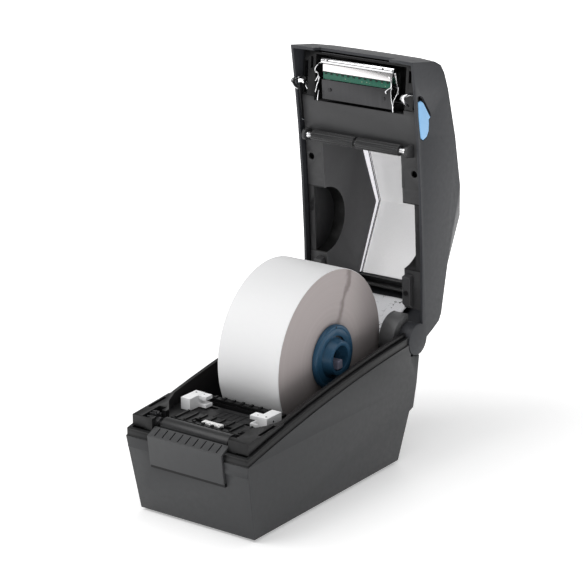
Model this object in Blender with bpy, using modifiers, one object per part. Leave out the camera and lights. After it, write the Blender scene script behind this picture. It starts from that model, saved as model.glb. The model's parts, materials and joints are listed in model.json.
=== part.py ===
"""Desktop label and receipt printer with its lid open and a label roll loaded.

Every shape is laid out in the datum frame: X across, Y from the front edge of the rim
to the back, Z up from the bottom edge of the case, with the lid closed. The lid's
pieces hang from an empty on the hinge axis that is turned back to the open position.
All lengths are in metres.
"""
import math

import bmesh
import bpy
from mathutils import Matrix, Vector

# ---- driving dimensions -------------------------------------------------------------
CASE_HALF_WIDTH = 0.054          # at the rim
CASE_HALF_WIDTH_BOTTOM = 0.0509  # at the bottom edge
DRAFT_HEIGHT = 0.058             # the side walls lean outwards up to here
FOOT_HEIGHT = 0.002
DATUM_TO_CENTRE = 0.1476         # from the rim's front edge to the middle of the open part
WALL = 0.0025
BAND_INSET = 0.0008              # the band below the rim stands in by this much
BAND_HEIGHT = 0.0055
FIT = 0.0004                     # gap between pieces that touch
RUN = 0.0001                     # radial clearance of a shaft in its bore

HINGE = Vector((0.0, 0.2141, 0.0916))
LID_OPEN = math.radians(-93.6)
HINGE_CAP_R = 0.0122
LID_WALL = 0.0020
FLANGE_RISE = 0.0043             # the lid's inner flange lies this far above the rim
FLANGE_THICK = 0.0020

ROLL_AXIS = Vector((0.0, 0.1375, 0.0950))
ROLL_R = 0.0650
ROLL_HALF_WIDTH = 0.0270
CORE_R = 0.0142
CORE_BORE_R = 0.0127

PLATEN_AXIS = Vector((0.0, 0.0150, 0.0665))
PLATEN_R = 0.0064
PLATEN_HALF_LENGTH = 0.0295
DECK_TOP = 0.0682
DECK_UNDER = 0.0645

LID_ROLLER_AXIS = Vector((0.0, 0.0698, 0.0775))
LATCH_AXIS = Vector((0.0, 0.0360, 0.0880))
LATCH_SWING = math.radians(8.0)
BUTTON_TRAVEL = 0.0035
SEGMENTS = 32

ORIGINS = {}


def rim_z(y):
    """Height of the rim, a long shallow arch that climbs towards the hinge."""
    return 0.0640 + 0.2427 * y - 0.411 * y * y


def half_width(z):
    share = min(max(z / DRAFT_HEIGHT, 0.0), 1.0)
    return CASE_HALF_WIDTH_BOTTOM + share * (CASE_HALF_WIDTH - CASE_HALF_WIDTH_BOTTOM)


def arc(cy, cz, r, start, end, steps):
    """Points on a circle, angles in degrees from +Y towards +Z."""
    turn = [math.radians(start + (end - start) * i / steps) for i in range(steps + 1)]
    return [(cy + r * math.cos(a), cz + r * math.sin(a)) for a in turn]


def rim_line(y0, y1, rise, steps=8):
    ys = [y0 + (y1 - y0) * i / steps for i in range(steps + 1)]
    return [(y, rim_z(y) + rise) for y in ys]


# ---- scene, materials and object helpers --------------------------------------------
def clear_scene():
    for obj in list(bpy.data.objects):
        bpy.data.objects.remove(obj, do_unlink=True)


clear_scene()
PARTS = bpy.data.collections.new("label_printer")
CUTTERS = bpy.data.collections.new("cutters")
bpy.context.scene.collection.children.link(PARTS)
bpy.context.scene.collection.children.link(CUTTERS)


def material(name, colour, roughness, metallic=0.0, alpha=1.0):
    mat = bpy.data.materials.new(name)
    mat.use_nodes = True
    shader = mat.node_tree.nodes["Principled BSDF"]
    shader.inputs["Base Color"].default_value = (*colour, 1.0)
    shader.inputs["Roughness"].default_value = roughness
    shader.inputs["Metallic"].default_value = metallic
    shader.inputs["Alpha"].default_value = alpha
    return mat


CASE = material("case_grey", (0.085, 0.087, 0.092), 0.55)
FRAME = material("frame_black", (0.018, 0.018, 0.020), 0.5)
WINDOW = material("window_clear", (0.55, 0.56, 0.60), 0.15, alpha=0.5)
RUBBER = material("rubber_black", (0.020, 0.020, 0.020), 0.8)
STEEL = material("steel", (0.62, 0.62, 0.63), 0.3, 1.0)
CHROME = material("chrome", (0.85, 0.85, 0.86), 0.1, 1.0)
PAPER = material("label_paper", (0.85, 0.85, 0.84), 0.7)
CARD = material("core_card", (0.42, 0.33, 0.24), 0.85)
HUB_BLUE = material("hub_blue", (0.03, 0.10, 0.20), 0.4)
BUTTON_BLUE = material("button_blue", (0.30, 0.55, 0.82), 0.4)
GUIDE_WHITE = material("guide_white", (0.80, 0.80, 0.78), 0.45)
BOARD = material("board_green", (0.01, 0.16, 0.08), 0.5)
CERAMIC = material("head_ceramic", (0.55, 0.55, 0.55), 0.25)
HEAT_SINK = material("head_heat_sink", (0.10, 0.10, 0.11), 0.45, 0.6)
CABLE = material("cable_white", (0.75, 0.76, 0.78), 0.4)
NYLON = material("gear_nylon", (0.55, 0.54, 0.50), 0.5)
DARK_PLASTIC = material("fitting_black", (0.012, 0.012, 0.013), 0.4)
LED = material("led_green", (0.10, 0.55, 0.15), 0.3)


def pivot(name, point, parent=None, turn=0.0):
    """An empty on a joint's axis. Pieces under it keep datum-frame coordinates."""
    empty = bpy.data.objects.new(name, None)
    PARTS.objects.link(empty)
    ORIGINS[name] = Vector(point)
    if parent is None:
        empty.location = (0.0, -DATUM_TO_CENTRE, FOOT_HEIGHT)
    else:
        empty.parent = parent
        empty.location = ORIGINS[name] - ORIGINS[parent.name]
    empty.rotation_euler = (turn, 0.0, 0.0)
    return empty


def add_object(name, mesh, parent, mat=None):
    """A visible piece when it has a material, and a hidden cutter when it has none."""
    obj = bpy.data.objects.new(name, mesh)
    obj.parent = parent
    obj.location = -ORIGINS[parent.name]
    if mat is None:
        CUTTERS.objects.link(obj)
        obj.hide_render = True
        obj.display_type = "WIRE"
    else:
        PARTS.objects.link(obj)
        mesh.materials.append(mat)
    return obj


def mesh_from(name, bm):
    mesh = bpy.data.meshes.new(name)
    bm.to_mesh(mesh)
    bm.free()
    mesh.shade_smooth()
    mesh.set_sharp_from_angle(angle=math.radians(35))
    return mesh


def box(name, low, high, parent, mat=None):
    low, high = Vector(low), Vector(high)
    bm = bmesh.new()
    place = Matrix.Translation((low + high) / 2) @ Matrix.Diagonal((*(high - low), 1.0))
    bmesh.ops.create_cube(bm, size=1.0, matrix=place)
    return add_object(name, mesh_from(name, bm), parent, mat)


TO_X = Matrix(((0, 0, 1, 0), (1, 0, 0, 0), (0, 1, 0, 0), (0, 0, 0, 1)))
TO_Y = Matrix(((1, 0, 0, 0), (0, 0, -1, 0), (0, 1, 0, 0), (0, 0, 0, 1)))
TO_Z = Matrix.Identity(4)


def slab(name, outline, low, high, along, parent, mat=None, holes=()):
    """A flat outline given thickness between low and high along one axis.

    The outline is in (y, z) for TO_X, (x, z) for TO_Y and (x, y) for TO_Z.
    """
    curve = bpy.data.curves.new(name + "_outline", "CURVE")
    curve.dimensions = "2D"
    curve.fill_mode = "BOTH"
    curve.extrude = (high - low) / 2
    for loop in (outline, *holes):
        spline = curve.splines.new("POLY")
        spline.points.add(len(loop) - 1)
        for point, (u, v) in zip(spline.points, loop):
            point.co = (u, v, 0.0, 1.0)
        spline.use_cyclic_u = True
    guide = bpy.data.objects.new(name + "_outline", curve)
    bpy.context.scene.collection.objects.link(guide)
    seen = guide.evaluated_get(bpy.context.evaluated_depsgraph_get())
    bm = bmesh.new()
    flat = bpy.data.meshes.new_from_object(seen)
    bm.from_mesh(flat)
    bpy.data.meshes.remove(flat)
    bpy.data.objects.remove(guide, do_unlink=True)
    bmesh.ops.remove_doubles(bm, verts=bm.verts, dist=1e-6)
    middle = (low + high) / 2
    if along is TO_Y:
        middle = -middle
    bmesh.ops.transform(bm, matrix=along @ Matrix.Translation((0, 0, middle)), verts=bm.verts)
    bmesh.ops.recalc_face_normals(bm, faces=bm.faces)
    return add_object(name, mesh_from(name, bm), parent, mat)


def lean_sides(obj, inset):
    """Moves a slab's two X faces onto the case's drafted side walls, less an inset."""
    bm = bmesh.new()
    bm.from_mesh(obj.data)
    bmesh.ops.bisect_plane(bm, geom=bm.verts[:] + bm.edges[:] + bm.faces[:],
                           plane_co=(0, 0, DRAFT_HEIGHT), plane_no=(0, 0, 1))
    for vert in bm.verts:
        vert.co.x = math.copysign(half_width(vert.co.z) - inset, vert.co.x)
    bm.to_mesh(obj.data)
    bm.free()
    return obj


def cylinder(name, centre, r, low, high, along, parent, mat=None, segments=SEGMENTS):
    """A round bar. centre is a datum-frame point; low and high are along the axis."""
    turn = {"X": Matrix.Rotation(math.pi / 2, 4, "Y"),
            "Y": Matrix.Rotation(math.pi / 2, 4, "X"),
            "Z": Matrix.Identity(4)}[along]
    place = Vector(centre)
    place["XYZ".index(along)] = (low + high) / 2
    bm = bmesh.new()
    bmesh.ops.create_cone(bm, cap_ends=True, segments=segments, radius1=r, radius2=r,
                          depth=high - low, matrix=Matrix.Translation(place) @ turn)
    return add_object(name, mesh_from(name, bm), parent, mat)


def boolean(obj, operation, *tools):
    for tool in tools:
        mod = obj.modifiers.new(operation.lower() + "_" + tool.name, "BOOLEAN")
        mod.operation = operation
        mod.solver = "EXACT"
        mod.object = tool
    return obj


def cut(obj, *tools):
    return boolean(obj, "DIFFERENCE", *tools)


def join(obj, *tools):
    return boolean(obj, "UNION", *tools)


def soften(obj, width, angle=35, segments=1):
    mod = obj.modifiers.new("soft_edges", "BEVEL")
    mod.width = width
    mod.segments = segments
    mod.limit_method = "ANGLE"
    mod.angle_limit = math.radians(angle)
    return obj


def gear_outline(cy, cz, teeth, module, phase=0.0):
    """Straight-flanked teeth with a little backlash."""
    pitch_r = teeth * module / 2
    step = 2 * math.pi / teeth
    points = []
    for i in range(teeth):
        a = phase + i * step
        for r, offset in ((pitch_r - 1.15 * module, -0.30), (pitch_r + 0.85 * module, -0.11),
                          (pitch_r + 0.85 * module, 0.11), (pitch_r - 1.15 * module, 0.30)):
            turn = a + offset * step
            points.append((cy + r * math.cos(turn), cz + r * math.sin(turn)))
    return points


def circle(cy, cz, r, steps=24):
    return arc(cy, cz, r, 0, 360, steps)[:-1]


DATUM = pivot("printer_datum", (0, 0, 0))
LID = pivot("lid_hinge_axis", HINGE, DATUM, LID_OPEN)
SIDES = (("left", -1), ("right", 1))


def span(side, a, b):
    """Low and high X of a stretch that is given as distances from the middle plane."""
    return (a, b) if side > 0 else (-b, -a)


# ---- base ---------------------------------------------------------------------------
REAR_WALL = [(0.2167, 0.0805), (0.2110, 0.0384), (0.2060, 0.0365), (0.1940, 0.0)]
FRONT_LEAN = 0.0116              # the front wall leans out by this much from bottom to rim
RIM_END = 0.2048                 # the rim runs into the hinge notch
COVER_HALF = 0.0327              # half width of the exit cover
COVER_BOTTOM = 0.0410


def base_shell():
    """Grey outer case: drafted tub without a floor, open at the top."""
    lower = [(FRONT_LEAN, 0.0), (0.0, 0.0585)]
    lower += rim_line(0.0, RIM_END, -BAND_HEIGHT)[1:] + [(RIM_END, 0.0805)] + REAR_WALL
    shell = slab("base_shell", lower, -1, 1, TO_X, DATUM, CASE)
    lean_sides(shell, 0.0)
    soften(shell, 0.0022, 60, 2)
    band = [(BAND_INSET, 0.0500)] + rim_line(BAND_INSET, RIM_END, 0.0) + [(RIM_END, 0.0500)]
    band_block = lean_sides(slab("band", band, -1, 1, TO_X, DATUM), BAND_INSET)
    join(shell, band_block)
    wall = WALL + BAND_INSET
    hollow = [(FRONT_LEAN + wall + 0.0002, -0.001), (wall, DRAFT_HEIGHT), (wall, 0.12),
              (0.2134, 0.12), (0.2134, 0.0800), (0.2080, 0.0400), (0.2030, 0.0380),
              (0.1905, -0.001)]
    cut(shell, lean_sides(slab("hollow", hollow, -1, 1, TO_X, DATUM), wall))
    gap_low = (-COVER_HALF - 0.0002, -0.01, COVER_BOTTOM - 0.0022)
    cut(shell, box("exit_gap", gap_low, (COVER_HALF + 0.0002, 0.0050, 0.09), DATUM))
    for name, side in SIDES:
        low, high = span(side, 0.0436, 0.060)
        cut(shell, cylinder("hinge_notch_" + name, HINGE, 0.0130, low, high, "X", DATUM))
    for name, low, high in PORT_GAPS:
        cut(shell, box(name + "_gap", low, high, DATUM))
    return shell


PORT_GAPS = (
    ("power_jack", (-0.0365, 0.185, 0.0120), (-0.0235, 0.212, 0.0250)),
    ("usb_port", (-0.0075, 0.185, 0.0120), (0.0075, 0.212, 0.0265)),
    ("serial_port", (0.0150, 0.185, 0.0115), (0.0390, 0.212, 0.0255)),
    ("power_rocker", (-0.0420, 0.195, 0.0500), (-0.0280, 0.225, 0.0660)),
)


def bottom_cover():
    """Black plate that closes the case from below."""
    cover = box("bottom_cover", (-0.0468, 0.0170, 0.0003), (0.0468, 0.1880, 0.0023), DATUM, FRAME)
    soften(cover, 0.0008)


def feet():
    for row, y in (("front", 0.032), ("rear", 0.172)):
        for name, side in SIDES:
            foot = cylinder(f"foot_{row}_{name}", (side * 0.037, y, 0), 0.0065,
                            -FOOT_HEIGHT, 0.0, "Z", DATUM, RUBBER, 20)
            soften(foot, 0.0005)


TUB_R = ROLL_R + 0.0023
TUB_WALL = 0.0020
FRAME_INSET = 0.0037             # gap to the case's side wall, measured from its outside
FRAME_WALL = 0.0027
LATCH_SLOT_END = 0.0390          # the slots leave room for the hooks to swing back
FRAME_RISE = 0.0028              # the black rim stands above the grey one
BLOCK_FRONT = 0.0048
BLOCK_OUT = 0.0512               # outer face of the two front corner blocks


def inner_frame():
    """Black moulding: label bay, deck and the two front corner blocks."""
    cy, cz = ROLL_AXIS.y, ROLL_AXIS.z
    outer_r = TUB_R + TUB_WALL
    start = 180 + math.degrees(math.asin((cz - 0.0610) / outer_r))
    end = 360 - math.degrees(math.asin((cz - 0.0830) / outer_r))
    outline = [(0.0056, 0.0610)] + arc(cy, cz, outer_r, start, end, 18)
    outline += [(0.2120, 0.0830), (0.2120, 0.0850), (0.2040, 0.0850)]
    outline += rim_line(0.2020, 0.0460, FRAME_RISE, 7)
    outline += [(0.0340, 0.0760), (0.0056, 0.0739)]
    frame = slab("inner_frame", outline, -1, 1, TO_X, DATUM, FRAME)
    lean_sides(frame, FRAME_INSET)
    block = [(BLOCK_FRONT, 0.0737), (0.0340, 0.0760), (0.0460, rim_z(0.046) + FRAME_RISE)]
    block += reversed(rim_line(BLOCK_FRONT, 0.0460, FIT, 5))
    for name, side in SIDES:
        low, high = span(side, 0.0400, BLOCK_OUT)
        shoulder = slab("shoulder_" + name, block, low, high, TO_X, DATUM)
        join(frame, shoulder)
        low, high = span(side, 0.0335, 0.0405)
        cheek_low, cheek_high = (low, BLOCK_FRONT, 0.0600), (high, 0.0240, 0.0737)
        join(frame, box("cheek_" + name, cheek_low, cheek_high, DATUM))
    bay = [(0.0700, 0.12)] + arc(cy, cz, TUB_R, 180, 360, 24) + [(0.2048, 0.12)]
    cut(frame, lean_sides(slab("bay", bay, -1, 1, TO_X, DATUM), FRAME_INSET + FRAME_WALL))
    x_in = CASE_HALF_WIDTH - FRAME_INSET - FRAME_WALL
    deck_half = [(0.0335, -0.01), (0.0335, 0.0240), (0.0430, 0.0360), (x_in, 0.0480),
                 (x_in, 0.1000)]
    deck_cut = deck_half + [(-x, y) for x, y in reversed(deck_half)]
    cut(frame, slab("deck_cut", deck_cut, DECK_TOP, 0.12, TO_Z, DATUM))
    cut(frame, box("platen_gap", (-0.0335, -0.01, 0.05), (0.0335, 0.0225, 0.09), DATUM))
    cut(frame, box("under_deck", (-0.0465, 0.0250, 0.05), (0.0465, 0.0660, DECK_UNDER), DATUM))
    cut(frame, box("feed_channel", (-0.0400, 0.0625, 0.05), (0.0400, 0.0690, 0.09), DATUM))
    cut(frame, box("rear_gap", (-0.0480, 0.2032, 0.0850), (0.0480, 0.2200, 0.12), DATUM))
    for name, side in SIDES:
        low, high = span(side, 0.0474, 0.0498)
        slot_low = (low, 0.0205, 0.0605)
        cut(frame, box("latch_slot_" + name, slot_low, (high, LATCH_SLOT_END, 0.09), DATUM))
        low, high = span(side, 0.0330, 0.0373)
        cut(frame, cylinder("bush_seat_" + name, PLATEN_AXIS, 0.0053, low, high, "X", DATUM))
        seat_low = (low, PLATEN_AXIS.y - 0.0053, PLATEN_AXIS.z)
        seat_high = (high, PLATEN_AXIS.y + 0.0053, 0.09)
        cut(frame, box("bush_drop_" + name, seat_low, seat_high, DATUM))
        low, high = span(side, 0.0436, 0.060)
        cut(frame, cylinder("barrel_room_" + name, HINGE, 0.0130, low, high, "X", DATUM))
        low, high = span(side, 0.0170, 0.0375)
        slot_y = GUIDE_CENTRE.y - side * 0.0066
        slot_low, slot_high = (low, slot_y - 0.0018, 0.05), (high, slot_y + 0.0018, 0.09)
        cut(frame, box("guide_slot_" + name, slot_low, slot_high, DATUM))
    cut(frame, box("gear_room", (-0.0432, 0.0058, 0.05), (-0.0370, 0.0255, 0.09), DATUM))
    cut(frame, box("arm_slot", (-0.0420, cy - 0.0095, 0.02), (0.0420, cy + 0.0095, 0.035), DATUM))


def exit_cover():
    """Front door with a slotted upper slope where labels come out."""
    outline = [(0.0008, COVER_BOTTOM), (-0.0021, 0.0635), (0.0071, 0.0680), (0.0078, 0.0665),
               (0.0003, 0.0625), (0.0034, COVER_BOTTOM)]
    cover = slab("exit_cover", outline, -COVER_HALF, COVER_HALF, TO_X, DATUM, CASE)
    for i in range(9):
        x = -0.0272 + 0.0068 * i
        low, high = (x - 0.0005, -0.0006, 0.0630), (x + 0.0005, 0.0064, 0.0750)
        cut(cover, box(f"slope_slot_{i}", low, high, DATUM))


def ports():
    """Connector housings in the back wall, each with its socket open to the rear."""
    low, high = (-0.0355, 0.1790, 0.0130), (-0.0245, 0.1950, 0.0240)
    jack = box("power_jack", low, high, DATUM, DARK_PLASTIC)
    bore = cylinder("jack_bore", (-0.030, 0, 0.0185), 0.0036, 0.184, 0.21, "Y", DATUM, None, 20)
    cut(jack, bore)
    usb = box("usb_port", (-0.0060, 0.1790, 0.0130), (0.0060, 0.1955, 0.0245), DATUM, STEEL)
    cut(usb, box("usb_socket", (-0.0045, 0.1840, 0.0145), (0.0045, 0.21, 0.0230), DATUM))
    serial = box("serial_port", (0.0160, 0.1790, 0.0125), (0.0380, 0.1945, 0.0245), DATUM, STEEL)
    cut(serial, box("serial_socket", (0.0185, 0.1880, 0.0150), (0.0355, 0.21, 0.0220), DATUM))


def main_board():
    """Circuit board on the case's floor, in front of the sockets."""
    box("main_board", (-0.0440, 0.0600, 0.0090), (0.0440, 0.1780, 0.0106), DATUM, BOARD)


def rear_switch():
    axis = Vector((-0.0350, 0.2095, 0.0580))
    hub = pivot("power_rocker_axis", axis, DATUM)
    outline = [(0.2060, 0.0520), (0.2105, 0.0520), (0.2140, 0.0580), (0.2146, 0.0640),
               (0.2060, 0.0640)]
    slab("power_rocker", outline, axis.x - 0.0055, axis.x + 0.0055, TO_X, hub, DARK_PLASTIC)


# ---- paper path ---------------------------------------------------------------------
MODULE = 0.0010
PLATEN_TEETH, IDLER_TEETH, PINION_TEETH = 16, 24, 10
GEAR_X = (-0.0415, -0.0380)


def gear_centres():
    """The train runs down and back from the platen to the motor."""
    down = Vector((0.0, 25.0, -30.5)).normalized()
    idler = PLATEN_AXIS + down * MODULE * (PLATEN_TEETH + IDLER_TEETH) / 2
    motor = idler + down * MODULE * (IDLER_TEETH + PINION_TEETH) / 2
    return down, idler, motor


def platen():
    spin = pivot("platen_axis", PLATEN_AXIS, DATUM)
    cy, cz = PLATEN_AXIS.y, PLATEN_AXIS.z
    roller = slab("platen_roller", circle(cy, cz, PLATEN_R, 32), -PLATEN_HALF_LENGTH,
                  PLATEN_HALF_LENGTH, TO_X, spin, RUBBER, [circle(cy, cz, 0.0031, 24)])
    soften(roller, 0.0003)
    cylinder("platen_shaft", PLATEN_AXIS, 0.0030, -0.0418, 0.0368, "X", spin, STEEL, 24)
    for name, side in SIDES:
        low, high = span(side, 0.0331, 0.0368)
        slab("platen_bush_" + name, circle(cy, cz, 0.0050, 28), low, high, TO_X, DATUM,
             NYLON, [circle(cy, cz, 0.0031, 24)])
    down, idler, motor = gear_centres()
    line = math.atan2(down.z, down.y)
    low, high = GEAR_X
    slab("platen_gear", gear_outline(cy, cz, PLATEN_TEETH, MODULE, line), low, high, TO_X, spin,
         NYLON, [circle(cy, cz, 0.0031, 24)])
    idler_spin = pivot("idler_axis", idler, DATUM)
    facing = line + math.pi
    half_tooth = math.pi / IDLER_TEETH
    slab("idler_gear", gear_outline(idler.y, idler.z, IDLER_TEETH, MODULE, facing + half_tooth),
         low, high, TO_X, idler_spin, NYLON, [circle(idler.y, idler.z, 0.0026, 20)])
    pinion_spin = pivot("pinion_axis", motor, DATUM)
    side_tooth = line - (facing + half_tooth)
    step = 2 * math.pi / IDLER_TEETH
    share = (side_tooth / step) % 1.0
    phase = facing + (share - 0.5) * 2 * math.pi / PINION_TEETH
    slab("motor_pinion", gear_outline(motor.y, motor.z, PINION_TEETH, MODULE, phase), low, high,
         TO_X, pinion_spin, STEEL, [circle(motor.y, motor.z, 0.0013, 16)])
    plate = [(0.0200, 0.0590), (0.0200, 0.0440), (0.0260, 0.0200), (0.0560, 0.0200),
             (0.0560, 0.0590)]
    gear_plate = slab("gear_plate", plate, -0.0372, -0.0360, TO_X, DATUM, STEEL,
                      [circle(motor.y, motor.z, 0.0040, 20)])
    post = cylinder("idler_post", idler, 0.0025, -0.0416, -0.0362, "X", DATUM, None, 20)
    join(gear_plate, post)
    can = cylinder("stepper_motor", motor, 0.0155, -0.0357, -0.0160, "X", DATUM, STEEL)
    soften(can, 0.0008)
    join(can, cylinder("motor_spindle", motor, 0.0012, -0.0416, -0.0356, "X", DATUM, None, 16))


def paper_plates():
    """Ribbed plates behind the platen and in front of the roll, and the label sensor."""
    plate = box("sensor_plate", (-0.0320, 0.0236, DECK_TOP + 0.0003), (0.0320, 0.0412, 0.0700),
                DATUM, FRAME)
    for i in range(8):
        x = -0.0280 + 0.0080 * i
        low, high = (x - 0.0009, 0.0242, 0.0690), (x + 0.0009, 0.0406, 0.0712)
        join(plate, box(f"sensor_rib_{i}", low, high, DATUM))
    cut(plate, box("sensor_window", (-0.0160, 0.0268, 0.06), (0.0180, 0.0322, 0.09), DATUM))
    travel = pivot("gap_sensor_slide", (0.0012, 0.0295, 0.0690), DATUM)
    sensor = box("gap_sensor", (-0.0070, 0.0273, DECK_TOP + 0.0003), (0.0094, 0.0317, 0.0708), travel,
                 GUIDE_WHITE)
    for i in range(4):
        x = -0.0040 + 0.0040 * i
        low, high = (x - 0.0007, 0.0200, 0.0700), (x + 0.0007, 0.0290, 0.0800)
        cut(sensor, box(f"sensor_nick_{i}", low, high, travel))
    low, high = (-0.0330, 0.0695, DECK_TOP + 0.0003), (0.0330, 0.0742, 0.0708)
    bar = box("rear_paper_bar", low, high, DATUM, FRAME)
    for i in range(8):
        x = -0.0280 + 0.0080 * i
        low, high = (x - 0.0009, 0.0698, 0.0700), (x + 0.0009, 0.0738, 0.0718)
        join(bar, box(f"bar_rib_{i}", low, high, DATUM))


RACK_PITCH = math.pi * MODULE


def rack_outline(length, back, root, tip, shift):
    """A toothed strip in (x, y), teeth towards tip, length along X from zero."""
    points = [(0.0, back)]
    points.append((length, back))
    count = int(length / RACK_PITCH) - 1
    teeth = []
    for i in range(count):
        x = RACK_PITCH * (i + 0.5) + shift
        for reach, offset in ((root, -0.30), (tip, -0.11), (tip, 0.11), (root, 0.30)):
            teeth.append((x + offset * RACK_PITCH, reach))
    points.append((length, root))
    points += reversed(teeth)
    points.append((0.0, root))
    return points


GUIDE_TEETH = 8
GUIDE_CENTRE = Vector((0.0, 0.0525, 0.0))
GUIDE_RACK_Z = (0.0600, 0.0625)


def media_guides():
    """Two equal guides, half a turn apart, whose toothed arms meet a pinion below the deck."""
    cy = GUIDE_CENTRE.y
    pitch_r = GUIDE_TEETH * MODULE / 2
    top, bottom = 0.0775, DECK_TOP + 0.0004
    for name, side in SIDES:
        slide = pivot("media_guide_axis_" + name, (side * 0.0345, cy, 0.0720), DATUM)
        turn = Matrix.Translation(GUIDE_CENTRE) @ Matrix.Rotation(0 if side > 0 else math.pi, 4, "Z")
        turn = turn @ Matrix.Translation(-GUIDE_CENTRE)
        pieces = [
            box("media_guide_" + name, (0.0300, cy - 0.0088, bottom), (0.0382, cy + 0.0088, top),
                slide, GUIDE_WHITE),
            box("jaw_top_" + name, (0.0232, cy - 0.0086, 0.0745),
                (0.0310, cy - 0.0012, top - 0.0002), slide),
            box("jaw_low_" + name, (0.0232, cy - 0.0086, bottom + 0.0002),
                (0.0310, cy - 0.0012, 0.0713), slide),
            box("guide_stem_" + name, (0.0320, cy - 0.0078, GUIDE_RACK_Z[0] + 0.0005),
                (0.0350, cy - 0.0054, 0.0700), slide),
        ]
        rack = rack_outline(0.0440, cy - pitch_r - 0.0042, cy - pitch_r - 0.0012,
                            cy - pitch_r + 0.0008, 0.0)
        rack = [(x - 0.0080, y) for x, y in rack]
        pieces.append(slab("guide_rack_" + name, rack, *GUIDE_RACK_Z, TO_Z, slide))
        for piece in pieces:
            piece.data.transform(turn)
        join(pieces[0], pieces[1], pieces[2], pieces[3], pieces[4])
    spin = pivot("guide_pinion_axis", (0, cy, GUIDE_RACK_Z[0]), DATUM)
    phase = rack_phase(-0.0080, -math.pi / 2, pitch_r, GUIDE_TEETH)
    slab("guide_pinion", gear_outline(0.0, cy, GUIDE_TEETH, MODULE, phase), *GUIDE_RACK_Z, TO_Z,
         spin, NYLON)


def rack_phase(start, facing, pitch_r, teeth):
    """Turns a pinion so that a gap faces the rack tooth nearest to its centre line."""
    first = start + RACK_PITCH * 0.5
    nearest = first - round(first / RACK_PITCH) * RACK_PITCH
    return facing + nearest / pitch_r + math.pi / teeth


# ---- label roll and its arms --------------------------------------------------------
def label_roll():
    spin = pivot("roll_axis", ROLL_AXIS, DATUM)
    cy, cz = ROLL_AXIS.y, ROLL_AXIS.z
    slab("label_roll", circle(cy, cz, ROLL_R, 64), -ROLL_HALF_WIDTH, ROLL_HALF_WIDTH, TO_X, spin,
         PAPER, [circle(cy, cz, CORE_R + 0.0003, 32)])
    slab("roll_core", circle(cy, cz, CORE_R, 32), -ROLL_HALF_WIDTH, ROLL_HALF_WIDTH, TO_X, spin,
         CARD, [circle(cy, cz, CORE_BORE_R, 32)])


ARM_TEETH = 8
ARM_RACK_Z = (0.0215, 0.0245)


def roll_arms():
    """Blue arms: a flange against the roll, a plug in its core and a foot on the bay floor."""
    cy, cz = ROLL_AXIS.y, ROLL_AXIS.z
    pitch_r = ARM_TEETH * MODULE / 2
    for name, side in SIDES:
        slide = pivot("roll_arm_axis_" + name, (side * 0.0290, cy, cz), DATUM)
        flange_low = ROLL_HALF_WIDTH + 0.0004
        profile = [(0.0200, 0.0090), (0.0200, 0.0118), (0.0210, 0.0124), (flange_low, 0.0124),
                   (flange_low, 0.0228), (0.0300, 0.0228), (0.0306, 0.0222), (0.0306, 0.0160),
                   (0.0290, 0.0160), (0.0290, 0.0124), (0.0362, 0.0124), (0.0362, 0.0098),
                   (0.0300, 0.0098), (0.0292, 0.0090)]
        arm = turned_ring("roll_arm_" + name, profile, ROLL_AXIS, side, slide, HUB_BLUE)
        stem = [(cy - 0.0085, 0.0300), (cy + 0.0085, 0.0300), (cy + 0.0120, 0.0800),
                (cy - 0.0120, 0.0800)]
        low, high = span(side, flange_low, 0.0302)
        join(arm, slab("arm_stem_" + name, stem, low, high, TO_X, slide))
        sign = 1 if side > 0 else -1
        low, high = span(side, 0.0276, 0.0302)
        y_low, y_high = sorted((cy - sign * (pitch_r + 0.0030), cy - sign * (pitch_r + 0.0012)))
        join(arm, box("arm_leg_" + name, (low, y_low, ARM_RACK_Z[0]), (high, y_high, 0.0310), slide))
        rack = rack_outline(0.0400, cy - pitch_r - 0.0034, cy - pitch_r - 0.0012,
                            cy - pitch_r + 0.0008, 0.0)
        rack = [(x - 0.0095, y) for x, y in rack]
        strip = slab("arm_rack_" + name, rack, *ARM_RACK_Z, TO_Z, slide)
        if side < 0:
            centre = Matrix.Translation((0, cy, 0))
            strip.data.transform(centre @ Matrix.Rotation(math.pi, 4, "Z") @ centre.inverted())
        join(arm, strip)
    spin = pivot("arm_pinion_axis", (0, cy, ARM_RACK_Z[0]), DATUM)
    phase = rack_phase(-0.0095, -math.pi / 2, pitch_r, ARM_TEETH)
    teeth = gear_outline(0.0, cy, ARM_TEETH, MODULE, phase)
    slab("arm_pinion", teeth, *ARM_RACK_Z, TO_Z, spin, NYLON)


def turned_ring(name, profile, axis, side, parent, mat=None, steps=SEGMENTS):
    """Turns a closed profile of (distance from the middle plane, radius) about an X axis."""
    bm = bmesh.new()
    verts = [bm.verts.new((r, 0.0, x)) for x, r in profile]
    for i, vert in enumerate(verts):
        bm.edges.new((vert, verts[(i + 1) % len(verts)]))
    bmesh.ops.spin(bm, geom=bm.verts[:] + bm.edges[:], cent=(0, 0, 0), axis=(0, 0, 1),
                   angle=2 * math.pi, steps=steps, use_duplicate=False)
    bmesh.ops.remove_doubles(bm, verts=bm.verts, dist=1e-6)
    to_x = Matrix(((0, 0, side, 0), (1, 0, 0, 0), (0, 1, 0, 0), (0, 0, 0, 1)))
    bmesh.ops.transform(bm, matrix=Matrix.Translation(axis) @ to_x, verts=bm.verts)
    bmesh.ops.recalc_face_normals(bm, faces=bm.faces)
    return add_object(name, mesh_from(name, bm), parent, mat)


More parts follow.
